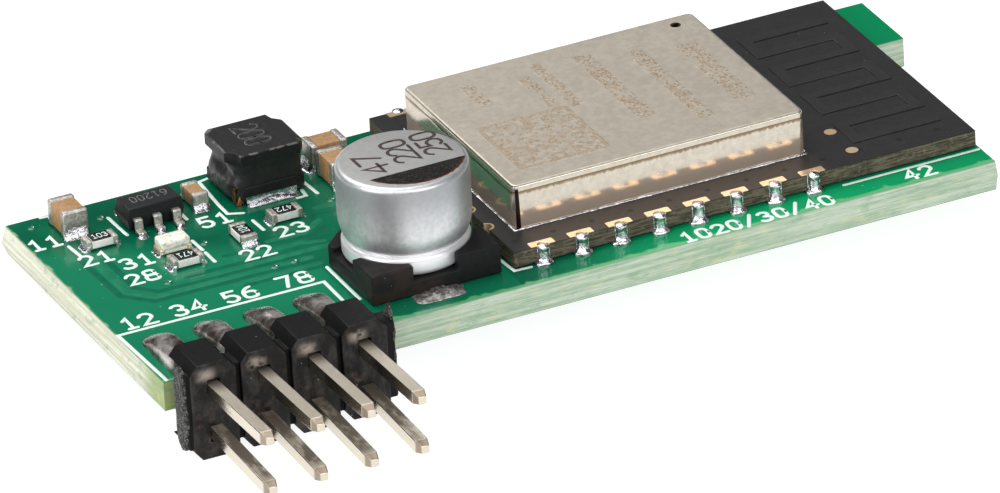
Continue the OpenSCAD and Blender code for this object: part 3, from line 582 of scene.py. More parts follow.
def track_finish():
    """Black mask over the raised antenna track."""
    f = Finish("black mask over copper", rough=0.5, Specular_IOR_Level=0.3)
    f.set(Base_Color=f.mix(f.noise(1.5, 4, 0.6), paint(30, 30, 31), paint(42, 42, 43)))
    f.set(Roughness=0.42 + f.noise(3, 3) * 0.12)
    return f.relief(f.noise(7, 3) * 0.006)


def gilt_finish():
    """Thin gold over copper."""
    f = Finish("gilt copper", metal=0.6, rough=0.2)
    f.set(Base_Color=f.mix(f.noise(4, 3), paint(255, 212, 162), paint(255, 232, 198)))
    f.set(Roughness=0.13 + f.noise(9, 2) * 0.1)
    return f.relief(f.noise(10, 3) * 0.0012)


# Rows of burnt marks on the shield: middle and half width in x, then start and end in y.
BURNT_ROWS = [(33.0, 0.55, 6.3, 12.8), (30.6, 0.4, 5.4, 13.4), (28.2, 0.45, 6.9, 14.3),
              (25.9, 0.3, 9.6, 14.6), (24.9, 0.3, 10.2, 13.6), (22.2, 0.35, 11.8, 14.2)]


def shield_finish():
    """Rolled nickel silver: faint grain, burnt marks from a laser, a brown line under the top
    edge, an open seam at the near left corner, a pale warm painted reflection low on the walls
    and painted shade in the vent hole."""
    low, high = box_of("shield_can")
    vent_x, vent_y = high[:2] - VENT_IN
    f = Finish("nickel silver sheet", metal=1.0, rough=0.3, Specular_IOR_Level=0.1)
    x, y, z = f.x, f.y, f.z
    top = z.rise(high[2] - 0.06, high[2] - 0.02)
    grain = f.noise(3.0, 5, 0.65)
    colour = f.mix(grain.rise(0.3, 0.7), paint(202, 193, 178), paint(216, 208, 194))
    # Rows of marks across the top, and one square of them near the capacitor.
    marks = None
    fleck = f.noise(9, 2, 0.6).rise(0.48, 0.56)
    for mid, half, start, end in BURNT_ROWS:
        row = x.band(mid - half, mid + half, 0.06) * y.band(start, end, 0.1)
        marks = row if marks is None else marks.most(row)
    marks = marks * f.steps((0.13, 0.17, 10.0)).rise(0.36, 0.5) * (0.35 + fleck * 0.65)
    square = x.band(20.65, 25.4, 0.05) * y.band(5.0, 9.95, 0.05)
    frame_line = square * (1 - x.band(20.9, 25.15, 0.03) * y.band(5.25, 9.7, 0.03))
    maze = (square * f.steps((0.24, 0.24, 10.0)).rise(0.45, 0.55)).most(frame_line)
    marks = marks.most(maze * (0.35 + fleck * 0.5)) * top
    colour = f.mix(marks * 0.8, colour, paint(158, 130, 98))
    # Ragged brown line where the plating cracked over the bend.
    reach = f.noise(1.0, 4, 0.7, (7.0, 0.5, 0.6)) * 0.34
    crack = (z + reach).rise(high[2] - 0.36, high[2] - 0.22) * z.rise(high[2] - 0.3, high[2] - 0.34)
    side = 1 - top
    colour = f.mix(crack * side * 0.9, colour, paint(136, 112, 80))
    # Painted reflection: the lower walls are painted paler and warmer, as the gilt pads and pale floor would
    # show in them.
    foot = z.rise(low[2] + 1.15, low[2] + 0.75) * side
    colour = f.mix(foot * 0.7, colour, paint(226, 206, 184))
    slit = 0.2 + (high[2] - z) * 0.03
    seam = (x - low[0] - 0.12).rise(0.0, 0.03) * (x - low[0] - 0.08 - slit).rise(0.02, -0.02)
    seam = seam * y.rise(low[1] + 0.3, low[1] + 0.2) * z.rise(high[2] - 0.16, high[2] - 0.24)
    colour = f.mix(seam, colour, paint(30, 16, 12))
    # Painted shade: the vent hole is painted dark brown and less metallic.
    from_vent = ((x - vent_x) ** 2.0 + (y - vent_y) ** 2.0) ** 0.5
    vent = from_vent.rise(VENT / 2 + 0.03, VENT / 2 - 0.01)
    colour = f.mix(vent, colour, paint(52, 38, 28))
    f.set(Base_Color=colour, Metallic=1 - seam * 0.78 - side * 0.22 - vent * 0.6 - foot * 0.08)
    brush = f.noise(9, 3, 0.6, (1, 1, 0.08)) * side
    f.set(Roughness=0.07 + top * 0.35 + grain * 0.08 + marks * 0.15 + brush * 0.05)
    dents = f.noise(0.35, 2) * 0.02 * top + grain * 0.0012 + f.noise(14, 3) * 0.0006
    dents = dents + brush * 0.0012 - side * z * 0.028
    return f.relief(dents + marks * 0.006 - crack * 0.01 - seam * 0.15)


def can_finish():
    """Drawn aluminium: satin wall, ground top; a painted shade band under the shoulder and a painted
    highlight on the bead.
    """
    f = Finish("satin aluminium", metal=0.82, rough=0.4)
    grain = f.noise(4, 5, 0.65)
    blotch = f.noise(0.6, 3, 0.6)
    colour = f.mix(grain.rise(0.3, 0.7), paint(210, 212, 214), paint(230, 232, 234))
    colour = f.mix(blotch.rise(0.45, 0.75) * 0.3, colour, paint(184, 188, 192))
    top = f.z.rise(5.36, 5.395)
    # Painted shade: a darker band on the wall under the shoulder.
    colour = f.mix(f.z.rise(2.7, 5.0) * f.z.rise(5.3, 5.14) * 0.75, colour, paint(146, 148, 152))
    # Painted highlight: the rolled bead at the foot is painted near white and less metallic.
    bead = f.z.rise(2.05, 1.75)
    colour = f.mix(bead, colour, paint(246, 246, 248))
    f.set(Base_Color=f.mix(top * 0.6, colour, paint(146, 143, 138)))
    f.set(Roughness=0.34 + grain * 0.12 + top * 0.08 - bead * 0.08, Metallic=0.82 - bead * 0.3)
    return f.relief(grain * 0.004 + f.noise(20, 2) * 0.003)


def print_finish():
    """Dark brown print on the can."""
    f = Finish("brown print", rough=0.55)
    f.set(Base_Color=f.mix(f.noise(9, 3), paint(44, 32, 28), paint(66, 50, 44)))
    return f.relief(f.noise(16, 2) * 0.004)


def segment_finish():
    """Speckled black print with a burnt brown rim."""
    centre = middle_of("capacitor_can")
    f = Finish("black segment", rough=0.5, Specular_IOR_Level=0.15)
    dx, dy = f.x - (centre[0] + 0.25), f.y - (centre[1] + 0.05)
    far_out = (dx * dx + dy * dy) ** 0.5
    rim = far_out.rise(2.6, 2.74)
    speck = f.noise(16, 2, 0.6).rise(0.58, 0.66)
    colour = f.mix(speck, paint(16, 14, 14), paint(92, 86, 80))
    f.set(Base_Color=f.mix(rim, colour, paint(96, 44, 18)))
    return f.relief(f.noise(16, 2) * 0.01)


def base_finish():
    """Matte black base of the capacitor."""
    f = Finish("black phenolic", rough=0.45, Specular_IOR_Level=0.16)
    dust = f.specks(1.8, 0.04)
    colour = f.mix(f.noise(5, 4, 0.6), paint(16, 16, 17), paint(32, 32, 34))
    low = box_of("capacitor_base")[0]
    burnt = f.y.rise(low[1] + 1.6, low[1]) * f.x.rise(low[0] + 4.2, low[0] + 3.0)
    burnt = burnt * f.noise(0.9, 4, 0.6).rise(0.36, 0.62)
    colour = f.mix(burnt * 0.5, colour, paint(58, 46, 38))
    f.set(Base_Color=f.mix(dust * 0.6, colour, paint(190, 190, 192)))
    f.set(Roughness=0.4 + f.noise(3, 3) * 0.16)
    return f.relief(f.noise(14, 3) * 0.006 + dust * 0.008)


def ferrite_finish():
    """Ferrite with a fired skin and a few chips in it."""
    f = Finish("ferrite", rough=0.42, Specular_IOR_Level=0.24)
    chips = f.specks(1.3, 0.07, 1.0)
    colour = f.mix(f.noise(3, 5, 0.65), paint(23, 23, 24), paint(40, 40, 41))
    colour = f.mix(f.noise(9, 4, 0.7).rise(0.6, 0.74) * 0.5, colour, paint(110, 106, 102))
    low, high = box_of("inductor_core")
    centre, half = (low + high) / 2, (high - low) / 2
    off_x, off_y = abs(f.x - centre[0]), abs(f.y - centre[1])
    rim = off_x.rise(half[0] - 0.1, half[0] - 0.03).most(off_y.rise(half[1] - 0.1, half[1] - 0.03))
    rim = rim.most((off_x + off_y).rise(half[0] + half[1] - 0.66, half[0] + half[1] - 0.58))
    rim = rim * f.z.rise(high[2] - 0.1, high[2] - 0.05) * f.noise(3, 3, 0.6).rise(0.4, 0.56)
    colour = f.mix(rim * 0.7, colour, paint(132, 128, 122))
    f.set(Base_Color=f.mix(chips * 0.5, colour, paint(150, 140, 132)))
    f.set(Roughness=0.38 + f.noise(4, 3) * 0.14)
    return f.relief(f.noise(6, 4) * 0.012 - chips * 0.02)


def resin_finish():
    """Black resin wiped over the winding."""
    f = Finish("black resin", rough=0.34)
    f.set(Base_Color=f.mix(f.noise(2, 4, 0.6), paint(16, 16, 17), paint(42, 41, 41)))
    f.set(Roughness=0.3 + f.noise(3, 3) * 0.2)
    return f.relief(f.noise(1.4, 3) * 0.12 + f.noise(9, 3) * 0.008)


def wire_finish():
    """Bare copper wire with burnt enamel."""
    f = Finish("copper wire", metal=1.0, rough=0.3)
    f.set(Base_Color=f.mix(f.noise(8, 3).rise(0.4, 0.65), paint(140, 100, 70), paint(66, 46, 34)))
    return f.relief(f.noise(12, 2) * 0.01)


def end_finish():
    """Tinned chip ends: satin, in lighter and darker clouds."""
    f = Finish("tinned ends", metal=0.8, rough=0.36)
    skin = f.noise(7, 4, 0.65)
    f.set(Base_Color=f.mix(skin.rise(0.35, 0.7), paint(168, 162, 154), paint(220, 216, 210)))
    f.set(Roughness=0.28 + skin * 0.2)
    return f.relief(skin * 0.02)


def ceramic_finish(name, low, high, rough=0.5, grain=6.0):
    """Fired ceramic with faint clouds and a fine tooth."""
    f = Finish(name, rough=rough)
    f.set(Base_Color=f.mix(f.noise(grain, 4, 0.6).rise(0.3, 0.7), low, high))
    return f.relief(f.noise(grain * 2, 3) * 0.008)


def glass_finish(name, low, high, rough, ior=1.55):
    """Smooth coloured glass or moulding over a part."""
    f = Finish(name, rough=rough, ior=ior)
    f.set(Base_Color=f.mix(f.noise(5, 3), low, high))
    f.set(Roughness=rough + f.noise(4, 2) * 0.1)
    return f.relief(f.noise(11, 3) * 0.004)


def lens_finish():
    """Cloudy clear resin of the diode, with gold showing through and painted green glints."""
    f = Finish("cloudy resin", rough=0.22, Subsurface_Weight=0.25,
               Subsurface_Radius=(0.5 * MM, 0.5 * MM, 0.4 * MM))
    cloud = f.noise(4, 3)
    colour = f.mix(cloud.rise(0.35, 0.62), paint(232, 226, 208), paint(250, 248, 240))
    colour = f.mix(f.noise(6, 2, shift=3.0).rise(0.62, 0.7) * 0.6, colour, paint(196, 140, 90))
    # Painted reflection: scattered green glints.
    f.set(Base_Color=f.mix(f.noise(5, 2, shift=7.0).rise(0.62, 0.7) * 0.7, colour, paint(90, 190, 150)))
    return f.relief(f.noise(7, 3) * 0.05)


CARRIER = carrier_finish().material
INK = ink_finish().material
GROOVE = mask_finish("mask over a gap", paint(4, 98, 72), paint(10, 108, 79)).material
OVERLAID = mask_finish("mask over a track", paint(22, 118, 84), paint(38, 128, 94)).material
NYLON = header_finish().material
TORN = broken_finish().material
NICKEL = pin_finish().material
TAIL_SOLDER = solder_finish("tail solder", paint(92, 80, 72), paint(222, 216, 212),
                            0.16, 0.02, 0.9, 0.75).material
DULL_SOLDER = solder_finish("dull solder", paint(112, 108, 104), paint(206, 204, 202),
                            0.28, 0.035, 4.5, 0.7).material
SOLDER = solder_finish("bright solder", paint(190, 190, 194), paint(240, 240, 244), 0.12, 0.05, 4.0).material
MODULE = module_finish().material
TRACK = track_finish().material
GILT = gilt_finish().material
SHIELD = shield_finish().material
CHIP = glass_finish("moulded chip", paint(21, 22, 24), paint(33, 34, 36), 0.42, 1.36).material
CAN = can_finish().material
PRINT = print_finish().material
SEGMENT = segment_finish().material
BASE = base_finish().material
FERRITE = ferrite_finish().material
RESIN = resin_finish().material
COPPER = wire_finish().material
ENDS = end_finish().material
TAN = ceramic_finish("tan ceramic", paint(158, 118, 76), paint(184, 144, 100)).material
WHITE = ceramic_finish("white ceramic", paint(226, 226, 220), paint(246, 246, 242)).material
GLAZE = glass_finish("black glaze", paint(16, 16, 18), paint(30, 30, 32), 0.16).material
LED_BASE = ceramic_finish("cream ceramic", paint(232, 228, 214), paint(248, 244, 234)).material
LENS = lens_finish().material
MARK = ceramic_finish("grey print", paint(88, 88, 88), paint(128, 126, 122), 0.5, 12.0).material


# ---------------------------------------------------------------- making pieces

def keep_flat(piece):
    """Lets the large faces of a piece set its normals, so that flat ones look flat."""
    flat = piece.modifiers.new("flat faces stay flat", "WEIGHTED_NORMAL")
    flat.weight, flat.keep_sharp = 100, True


def dress(name, mesh, material, stands_for=(), sharp=35, ease=0.0):
    """Puts a mesh into the scene as a piece that rides on the part."""
    mesh.shade_smooth()
    mesh.set_sharp_from_angle(angle=math.radians(sharp))
    mesh.materials.clear()
    mesh.materials.append(material)
    piece = bpy.data.objects.new(name, mesh)
    bpy.context.scene.collection.objects.link(piece)
    if ease:
        bevel = piece.modifiers.new("eased edges", "BEVEL")
        bevel.width, bevel.segments = ease * MM, 2
        bevel.limit_method, bevel.angle_limit = "ANGLE", math.radians(sharp)
        keep_flat(piece)
    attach(piece, "root")
    if stands_for:
        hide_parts(*stands_for)
    return piece


def piece_from(name, parts, material, stands_for=(), sharp=35):
    """Joins shells into one mesh, closes their ends and turns their faces outwards."""
    counts = np.cumsum([0] + [len(points) for points, _ in parts])
    points = np.concatenate([points for points, _ in parts])
    faces = np.concatenate([faces + first for (_, faces), first in zip(parts, counts)])
    mesh = bpy.data.meshes.new(name)
    mesh.from_pydata(points * MM + ORIGIN, [], faces.tolist())
    shell = bmesh.new()
    shell.from_mesh(mesh)
    bmesh.ops.remove_doubles(shell, verts=shell.verts, dist=SAME)
    bmesh.ops.dissolve_degenerate(shell, edges=shell.edges, dist=1e-8)
    bmesh.ops.recalc_face_normals(shell, faces=shell.faces)
    shell.to_mesh(mesh)
    shell.free()
    return dress(name, mesh, material, stands_for, sharp)


def eased(node, material, ease, droop=0.0):
    """A merged copy of a node with its flat faces made whole and its edges rounded. What lies
    more than 2 mm behind the carrier's edge can droop by some millimetres."""
    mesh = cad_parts[node].data.copy()
    points = np.zeros(len(mesh.vertices) * 3)
    mesh.vertices.foreach_get("co", points)
    points = points.reshape(-1, 3)
    points[:, 2] -= np.where(points[:, 1] > ORIGIN[1] + 2 * MM, droop * MM, 0)
    mesh.vertices.foreach_set("co", points.ravel())
    shell = bmesh.new()
    shell.from_mesh(mesh)
    bmesh.ops.remove_doubles(shell, verts=shell.verts, dist=SAME)
    bmesh.ops.dissolve_limit(shell, angle_limit=math.radians(0.5), verts=shell.verts, edges=shell.edges)
    shell.to_mesh(mesh)
    shell.free()
    return dress(node + "_eased", mesh, material, (node,), ease=ease)


def paint_node(node, material):
    """Gives a node of the model its finish."""
    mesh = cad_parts[node].data
    if not mesh.materials:
        mesh.materials.append(material)
    for i in range(len(mesh.materials)):
        mesh.materials[i] = material


# ---------------------------------------------------------------- nodes that keep their shape

for node, material in {
    "main_board": CARRIER, "module_board": MODULE,
    "radio_chip": CHIP, "memory_chip": CHIP, "crystal": ENDS, "module_chips": TAN,
    "capacitor_lead_near": DULL_SOLDER, "capacitor_lead_far": DULL_SOLDER, "inductor_coil": COPPER,
}.items():
    paint_node(node, material)

eased("antenna_track", TRACK, 0.03)
eased("header_body", NYLON, 0.045)
eased("capacitor_base", BASE, 0.06)
eased("regulator_body", CHIP, 0.05)
eased("regulator_leads", ENDS, 0.03)
eased("inductor_core", FERRITE, 0.05)
eased("inductor_terminal_near", SOLDER, 0.02)
eased("inductor_terminal_far", SOLDER, 0.02)
for column in range(1, COLUMNS + 1):
    for row, droop in (("upper", 0.36), ("lower", -0.36)):
        eased(f"header_pin_{row}_{column}", NICKEL, 0.05, droop=droop)

header_low, header_high = box_of("header_body")


def torn_web(x, out, thick, deep, low, high, spike, seed):
    """Torn nylon on the header's end: a slab whose skin stands out by thick times a ripple of
    depth and height, and whose top rises to a ragged spike of that height."""
    t = np.linspace(0, 1, 60)[:, None]
    a = np.linspace(0, 2 * math.pi, 40, endpoint=False)
    c, s = np.cos(a), np.sin(a)
    near = header_low[1] + 0.34
    round_end = np.sqrt(np.clip(1 - np.abs(2 * t - 1) ** 9, 0.01, 1))
    edge = ripple(9 * t + seed, 0 * t, seed, 2.0)
    thinned = 1 - 0.75 * np.clip((t - 0.8) / 0.2, 0, 1) * (spike > 0)
    half = deep / 2 * round_end * (1 + 0.12 * edge) * thinned
    y = near + deep / 2 - 0.05 * edge + half * np.sign(c) * np.abs(c) ** 0.5
    skin = thick * (0.55 + 0.45 * ripple(5 * t, 3 * s, seed + 4, 2.0) * np.clip(c * -1.5 + 0.6, 0.3, 1))
    px = x + out * np.where(s > 0, skin * np.abs(s) ** 0.4, -0.06 * np.abs(s) ** 0.4)
    z = low + (high + spike - low) * t + 0.04 * ripple(4 * c, 4 * s, seed + 2) * (t > 0.9)
    return loft(np.stack([px + 0 * t, y, z + 0 * a], -1))


web = middle_of("header_body")[2]
piece_from("header_torn_ends", [
    torn_web(header_low[0] + 0.02, -1, 0.2, 1.25, web - 2.15, web + 2.1, 0.0, 81),
    torn_web(header_high[0] - 0.06, 1, 0.22, 1.0, web - 2.1, web + 1.9, 0.75, 84),
], TORN, sharp=60)

# ---------------------------------------------------------------- electrolytic capacitor

can_low, can_high = box_of("capacitor_can")
CAN_X, CAN_Y = (can_low[:2] + can_high[:2]) / 2
CAN_R = (can_high[0] - can_low[0]) / 2
CAN_TOP, CAN_FOOT = can_high[2], can_low[2]
SHOULDER = 0.3


def can_profile():
    """Half of the can: flat foot, rolled bead, waist that swells back as a sine, straight wall,
    round shoulder and flat top."""
    bead, waist, bend = CAN_R - 0.11, CAN_R - 0.28, 0.3
    swell = np.linspace(0, 1, 12)
    bead_top = CAN_FOOT + 1.0
    return np.concatenate([
        [(0.02, CAN_FOOT)],
        arc(bead - bend, CAN_FOOT + bend, bend, bend, -90, 0, 6),
        arc(bead - bend, bead_top - bend, bend, bend, 0, 72, 8),
        np.stack([waist + (CAN_R - waist) * np.sin(swell * math.pi / 2) ** 0.85,
                  bead_top + 0.02 + swell * 1.1], -1),
        arc(CAN_R - SHOULDER, CAN_TOP - SHOULDER, SHOULDER, SHOULDER, 0, 90, 10),
        [(0.02, CAN_TOP)],
    ])


def can_skin(x, y):
    """Height of the can's top at a place: flat, then down the shoulder's circle."""
    out = np.clip(np.hypot(x - CAN_X, y - CAN_Y) - (CAN_R - SHOULDER), 0, SHOULDER * 0.98)
    return CAN_TOP - SHOULDER + np.sqrt(SHOULDER ** 2 - out ** 2)


def black_segment():
    """The print's dark part: a disc's piece below a chord, laid on the can's top. u runs along
    the chord, v from the chord to the ragged rim; both sides of the film close at its edges."""
    x0, y0, r, chord = CAN_X + 0.25, CAN_Y + 0.05, 2.74, CAN_Y - 1.2
    a = math.asin((chord - y0) / r)
    u = np.linspace(-math.cos(a), math.cos(a), 120) * r * 0.999
    v = np.linspace(0, 1, 14)[:, None]
    rim = y0 - np.sqrt(r * r - u * u) + 0.025 * ripple(9 * u, 0 * u, 5, 2.5)
    x = x0 + u + 0 * v
    y = chord + 0.01 * ripple(7 * u, 0 * u, 8) + (rim - chord) * v
    top = np.stack([x, y, can_skin(x, y) + 0.008], -1)
    under = np.stack([x, y, can_skin(x, y) - 0.01], -1)
    sheet = np.concatenate([top, under[:, ::-1]], 1)
    return loft(sheet)


piece_from("capacitor_can_turned", [lathe(can_profile(), (CAN_X, CAN_Y))], CAN,
           ("capacitor_can",))
piece_from("capacitor_segment", [black_segment()], SEGMENT)
print_rows = []
for text, x, y, wide in (("47", -1.4, 0.2, 1.35), ("220", 0.25, 0.76, 1.0), ("250", 1.81, 0.8, 1.0)):
    print_rows += figures(text, (CAN_X + x, CAN_Y + y), 1.16, 0.19, CAN_TOP - 0.004, 0.012,
                          read=(0, 1), narrow=wide * 0.98, gap=0.09)
piece_from("capacitor_print", print_rows, PRINT)

# ---------------------------------------------------------------- solder

def tail_solder(column, row):
    """Solder over a pin's tail: a long dome on a rounded outline, with a flat pad rim. Along
    the tail its height falls by a slope, and past the tail's end it runs down to the pad."""
    upper = row == "upper"
    pin_low, pin_high = box_of(f"header_pin_{row}_{column}")
    x0 = (pin_low[0] + pin_high[0]) / 2
    crest = (pin_high[2] if upper else UNDERSIDE - pin_low[2]) + 0.07
    v = np.linspace(-1, 1, 33)
    u = np.concatenate([np.linspace(0.02, 2.9, 16), np.linspace(3.0, 4.49, 18)])[:, None]
    end = np.clip((u - 3.7) / 0.8, 0, 1)
    half = 0.78 * np.sqrt(np.clip(1 - end ** 2, 0, 1)) + 0.002
    falls = np.clip((u - 2.7) / 1.75, 0, 1)
    height = (crest - 0.1 * u) * (1 - falls ** 1.7) + 0.03
    bow = np.clip(1 - np.abs(v) ** 3.4, 0, 1) ** 0.7
    x = x0 + half * v * (1 + 0.03 * ripple(2 * u, v, column))
    lump = 1 + 0.05 * ripple(1.5 * u, 2 * v, column + 5)
    z = 0.03 + (height - 0.03) * bow * lump - 0.02 * (np.abs(v) > 0.995)
    y = u + 0 * v
    under = np.stack([x[:, ::-1], y[:, ::-1], 0 * z - 0.01], -1)
    rings = np.concatenate([np.stack([x, y, z], -1), under], 1)
    if not upper:
        rings[..., 2] = UNDERSIDE - rings[..., 2]
    return loft(rings)


for row, node in (("upper", "header_solder_top"), ("lower", "header_solder_bottom")):
    piece_from(f"header_solder_{row}_row", [tail_solder(i, row) for i in range(1, COLUMNS + 1)],
               TAIL_SOLDER, (node,))

module_low, module_high = box_of("module_board")
FIRST_CONTACT = module_low[0] + CONTACT_IN


def contact_bar(x, y, side, half=0.62, deep=0.46):
    """A gilt bar on the module's edge with a half hole cut out: its near line is the edge, or
    the hole's circle sqrt(r^2 - u^2) where |u| < r; its section is a thin strip."""
    u = np.linspace(-half, half, 60)
    hollow = np.sqrt(np.clip(0.3 ** 2 - u ** 2, 0, None))
    corner = deep - 0.05 * np.clip((np.abs(u) - half + 0.08) / 0.08, 0, 1) ** 2
    top = module_high[2] + 0.03
    v = np.stack([hollow, hollow, corner, corner], -1)
    z = np.broadcast_to([top - 0.05, top, top, top - 0.05], v.shape)
    return loft(np.stack([x + u[:, None] + 0 * v, y - side * v, z], -1))


def hole_lining(x, y, out, top=0.03, r=0.33, thick=0.05):
    """Plating in a half hole: a thin strip carried round half a circle, away from out."""
    out = np.asarray(out, float)
    a = np.linspace(-math.pi / 2, math.pi / 2, 20)[:, None]
    r = np.array([r - thick, r - thick, r, r])
    z = np.array([module_low[2], module_high[2] + top, module_high[2] + top, module_low[2]])
    inward, across = -out, np.array([-out[1], out[0]])
    flat = (np.cos(a) * r)[..., None] * inward + (np.sin(a) * r)[..., None] * across
    heights = np.broadcast_to(z, flat.shape[:2])[..., None]
    return loft(np.concatenate([flat + np.array([x, y]), heights], -1))


def contact_solder(x, y, side, seed):
    """Solder in a half hole: a hollow-sided column on a wide, steep-edged foot. Radius by height
    is 0.25 + 0.05 exp(-((t - 0.85) / 0.13)^2) + 0.2 (1.1 - t)^7, pushed about by a ripple; side is
    -1 near and 1 far."""
    t = np.concatenate([[0, 0.05, 0.1], np.linspace(0.15, 1, 22)])[:, None]
    a = np.linspace(0, 2 * math.pi, 28, endpoint=False)
    r = 0.25 + 0.05 * np.exp(-((t - 0.85) / 0.13) ** 2) + 0.2 * np.clip(1.1 - t, 0, 1) ** 7
    r = r * (1 + 0.08 * ripple(2 * np.cos(a) + 5 * t, 2 * np.sin(a), seed))
    r = r * np.where(t > 0.92, np.sqrt(np.clip(1 - ((t - 0.92) / 0.08) ** 2, 0.02, 1)), 1)
    wide = 1 + 0.12 * np.clip(1 - t, 0, 1) ** 4
    px = r * np.cos(a) * wide + 0.02 * ripple(3 * t + seed, 0 * t, seed + 2)
    py = np.clip(side * r * np.sin(a), -0.43, 0.43)
    z = t * (0.97 + 0.04 * ripple(t * 0 + seed, t * 0, seed)) + 0 * a
    return loft(np.stack([x + px, y + py, z], -1))


joints, pads = [], []
for i in range(SIDE_CONTACTS):
    x = FIRST_CONTACT + CONTACT_PITCH * i
    for y, side in ((module_low[1], -1), (module_high[1], 1)):
        joints += [contact_solder(x, y, side, 3 * i + (side > 0)), hole_lining(x, y, (0, side), -0.02)]
        pads.append(contact_bar(x, y, side))
for i in range(END_CONTACTS):
    y = middle_of("module_board")[1] + CONTACT_PITCH * (i - (END_CONTACTS - 1) / 2)
    pads.append(hole_lining(module_low[0], y, (-1, 0), 0.02, 0.37, 0.09))
piece_from("module_joints", joints, SOLDER, ("module_solder",), sharp=60)
piece_from("module_pads", pads, GILT, ("module_contacts",))

# ---------------------------------------------------------------- chip parts

def chip_axes(node):
    """Middle and half size of a chip, and whether its long side lies along x."""
    low, high = box_of(node)
    span = (high - low) / 2
    return (low + high) / 2, span, bool(span[0] > span[1])


def chip_ends(node, share=0.2, r=0.06, proud=0.012):
    """The two metal ends of a chip: blocks with round edges at the ends of its long side."""
    centre, span, lies_in_x = chip_axes(node)
    axis = 0 if lies_in_x else 1
    made = []
    for side in (-1, 1):
        low, high = centre - span, centre + span
        if side < 0:
            high[axis] = low[axis] + 2 * share * span[axis]
        else:
            low[axis] = high[axis] - 2 * share * span[axis]
        low[1 - axis] -= proud
        high[1 - axis] += proud
        high[2] += proud
        made.append(block(low, high, r))
    return made


def chip_fillets(node, height, seed, reach=0.3):
    """Solder in front of a chip's two ends, a little wider than they are."""
    centre, span, lies_in_x = chip_axes(node)
    out = np.array([1.0, 0.0]) if lies_in_x else np.array([0.0, 1.0])
    return [fillet(centre[:2] + side * out * (span[:2] @ out - 0.02), side * out,
                   span[:2] @ out[::-1] + 0.04, reach, height, seed + side, 0.1)
            for side in (-1, 1)]


heaps = []
for seed, name in enumerate(("input", "bypass", "output", "filter")):
    low, high = box_of(f"{name}_capacitor_body")
    end_top = box_of(f"{name}_capacitor_ends")[1][2]
    piece_from(f"{name}_chip_body", [block(low, high, 0.05)], TAN,
               (f"{name}_capacitor_body",))
    piece_from(f"{name}_chip_ends", chip_ends(f"{name}_capacitor_ends", 0.21, 0.1), ENDS,
               (f"{name}_capacitor_ends",))
    heaps += chip_fillets(f"{name}_capacitor_ends", 0.42 * end_top, 20 + 3 * seed)

# Each resistor's number and the direction in which it reads.
CHIP_NUMBERS = {1: ("103", (1, 0)), 2: ("104", (0, 1)), 3: ("472", (-1, 0)), 4: ("471", (-1, 0))}
numbers = []
for i, (text, read) in CHIP_NUMBERS.items():
    low, high = box_of(f"resistor_{i}_body")
    piece_from(f"resistor_{i}_plate", [block(low, high, 0.03)], WHITE,
               (f"resistor_{i}_body",))
    piece_from(f"resistor_{i}_caps", chip_ends(f"resistor_{i}_ends", 0.18, 0.05), ENDS,
               (f"resistor_{i}_ends",))
    low, high = box_of(f"resistor_{i}_glaze")
    high[2] += 0.02
    piece_from(f"resistor_{i}_cover", [block(low, high, 0.03)], GLAZE,
               (f"resistor_{i}_glaze",))
    spot = (low + high) / 2
    numbers += figures(text, spot[:2], 0.4, 0.055, high[2] - 0.004, 0.012, read, 0.85, 0.16)
    heaps += chip_fillets(f"resistor_{i}_ends", 0.36, 60 + 3 * i, 0.22)
piece_from("resistor_numbers", numbers, INK)

low, high = box_of("led_base")
piece_from("led_plate", [block(low, high, 0.03)], LED_BASE, ("led_base",))
piece_from("led_caps", chip_ends("led_ends", 0.16, 0.04), GILT, ("led_ends",))
low, high = box_of("led_lens")
dome = block(low - [0.2, 0.08, 0], high + [0.2, 0.08, 0.1], 0.16, 5)
piece_from("led_dome", [dome], LENS, ("led_lens",))
heaps += chip_fillets("led_ends", 0.24, 90, 0.2)
piece_from("chip_joints", heaps, SOLDER, ("chip_solder",), sharp=60)

# ---------------------------------------------------------------- supply parts' solder

regulator = middle_of("regulator_body")
feet = [mound((regulator[0] + 0.98 * i, regulator[1] + side * 1.38), 0.27, 0.3, 0.2, 1.2, 2.6,
              40 + i + 5 * side, 0.1)
        for i in (-1, 0, 1) for side in (-1, 1)]
core = middle_of("inductor_core")
core_low, core_high = box_of("inductor_core")
for side, y in ((-1, core_low[1] - 0.12), (1, core_high[1] + 0.12)):
    feet.append(mound((core[0], y), 1.34, 0.3, 0.24, 0.9, 5.0, 47 + side, 0.07, steps=90))
base_low, base_high = box_of("capacitor_base")
pads = []
for side, y in ((-1, base_low[1] - 0.35), (1, base_high[1] + 0.35)):
    pads.append(mound((CAN_X, y), 1.3, 0.62, 0.2, 0.6, 5.0, 51 + side, 0.12, steps=96, rings=24))
piece_from("supply_joints", feet, SOLDER, ("power_solder",), sharp=60)
piece_from("capacitor_joints", pads, DULL_SOLDER, sharp=60)

# ---------------------------------------------------------------- inductor

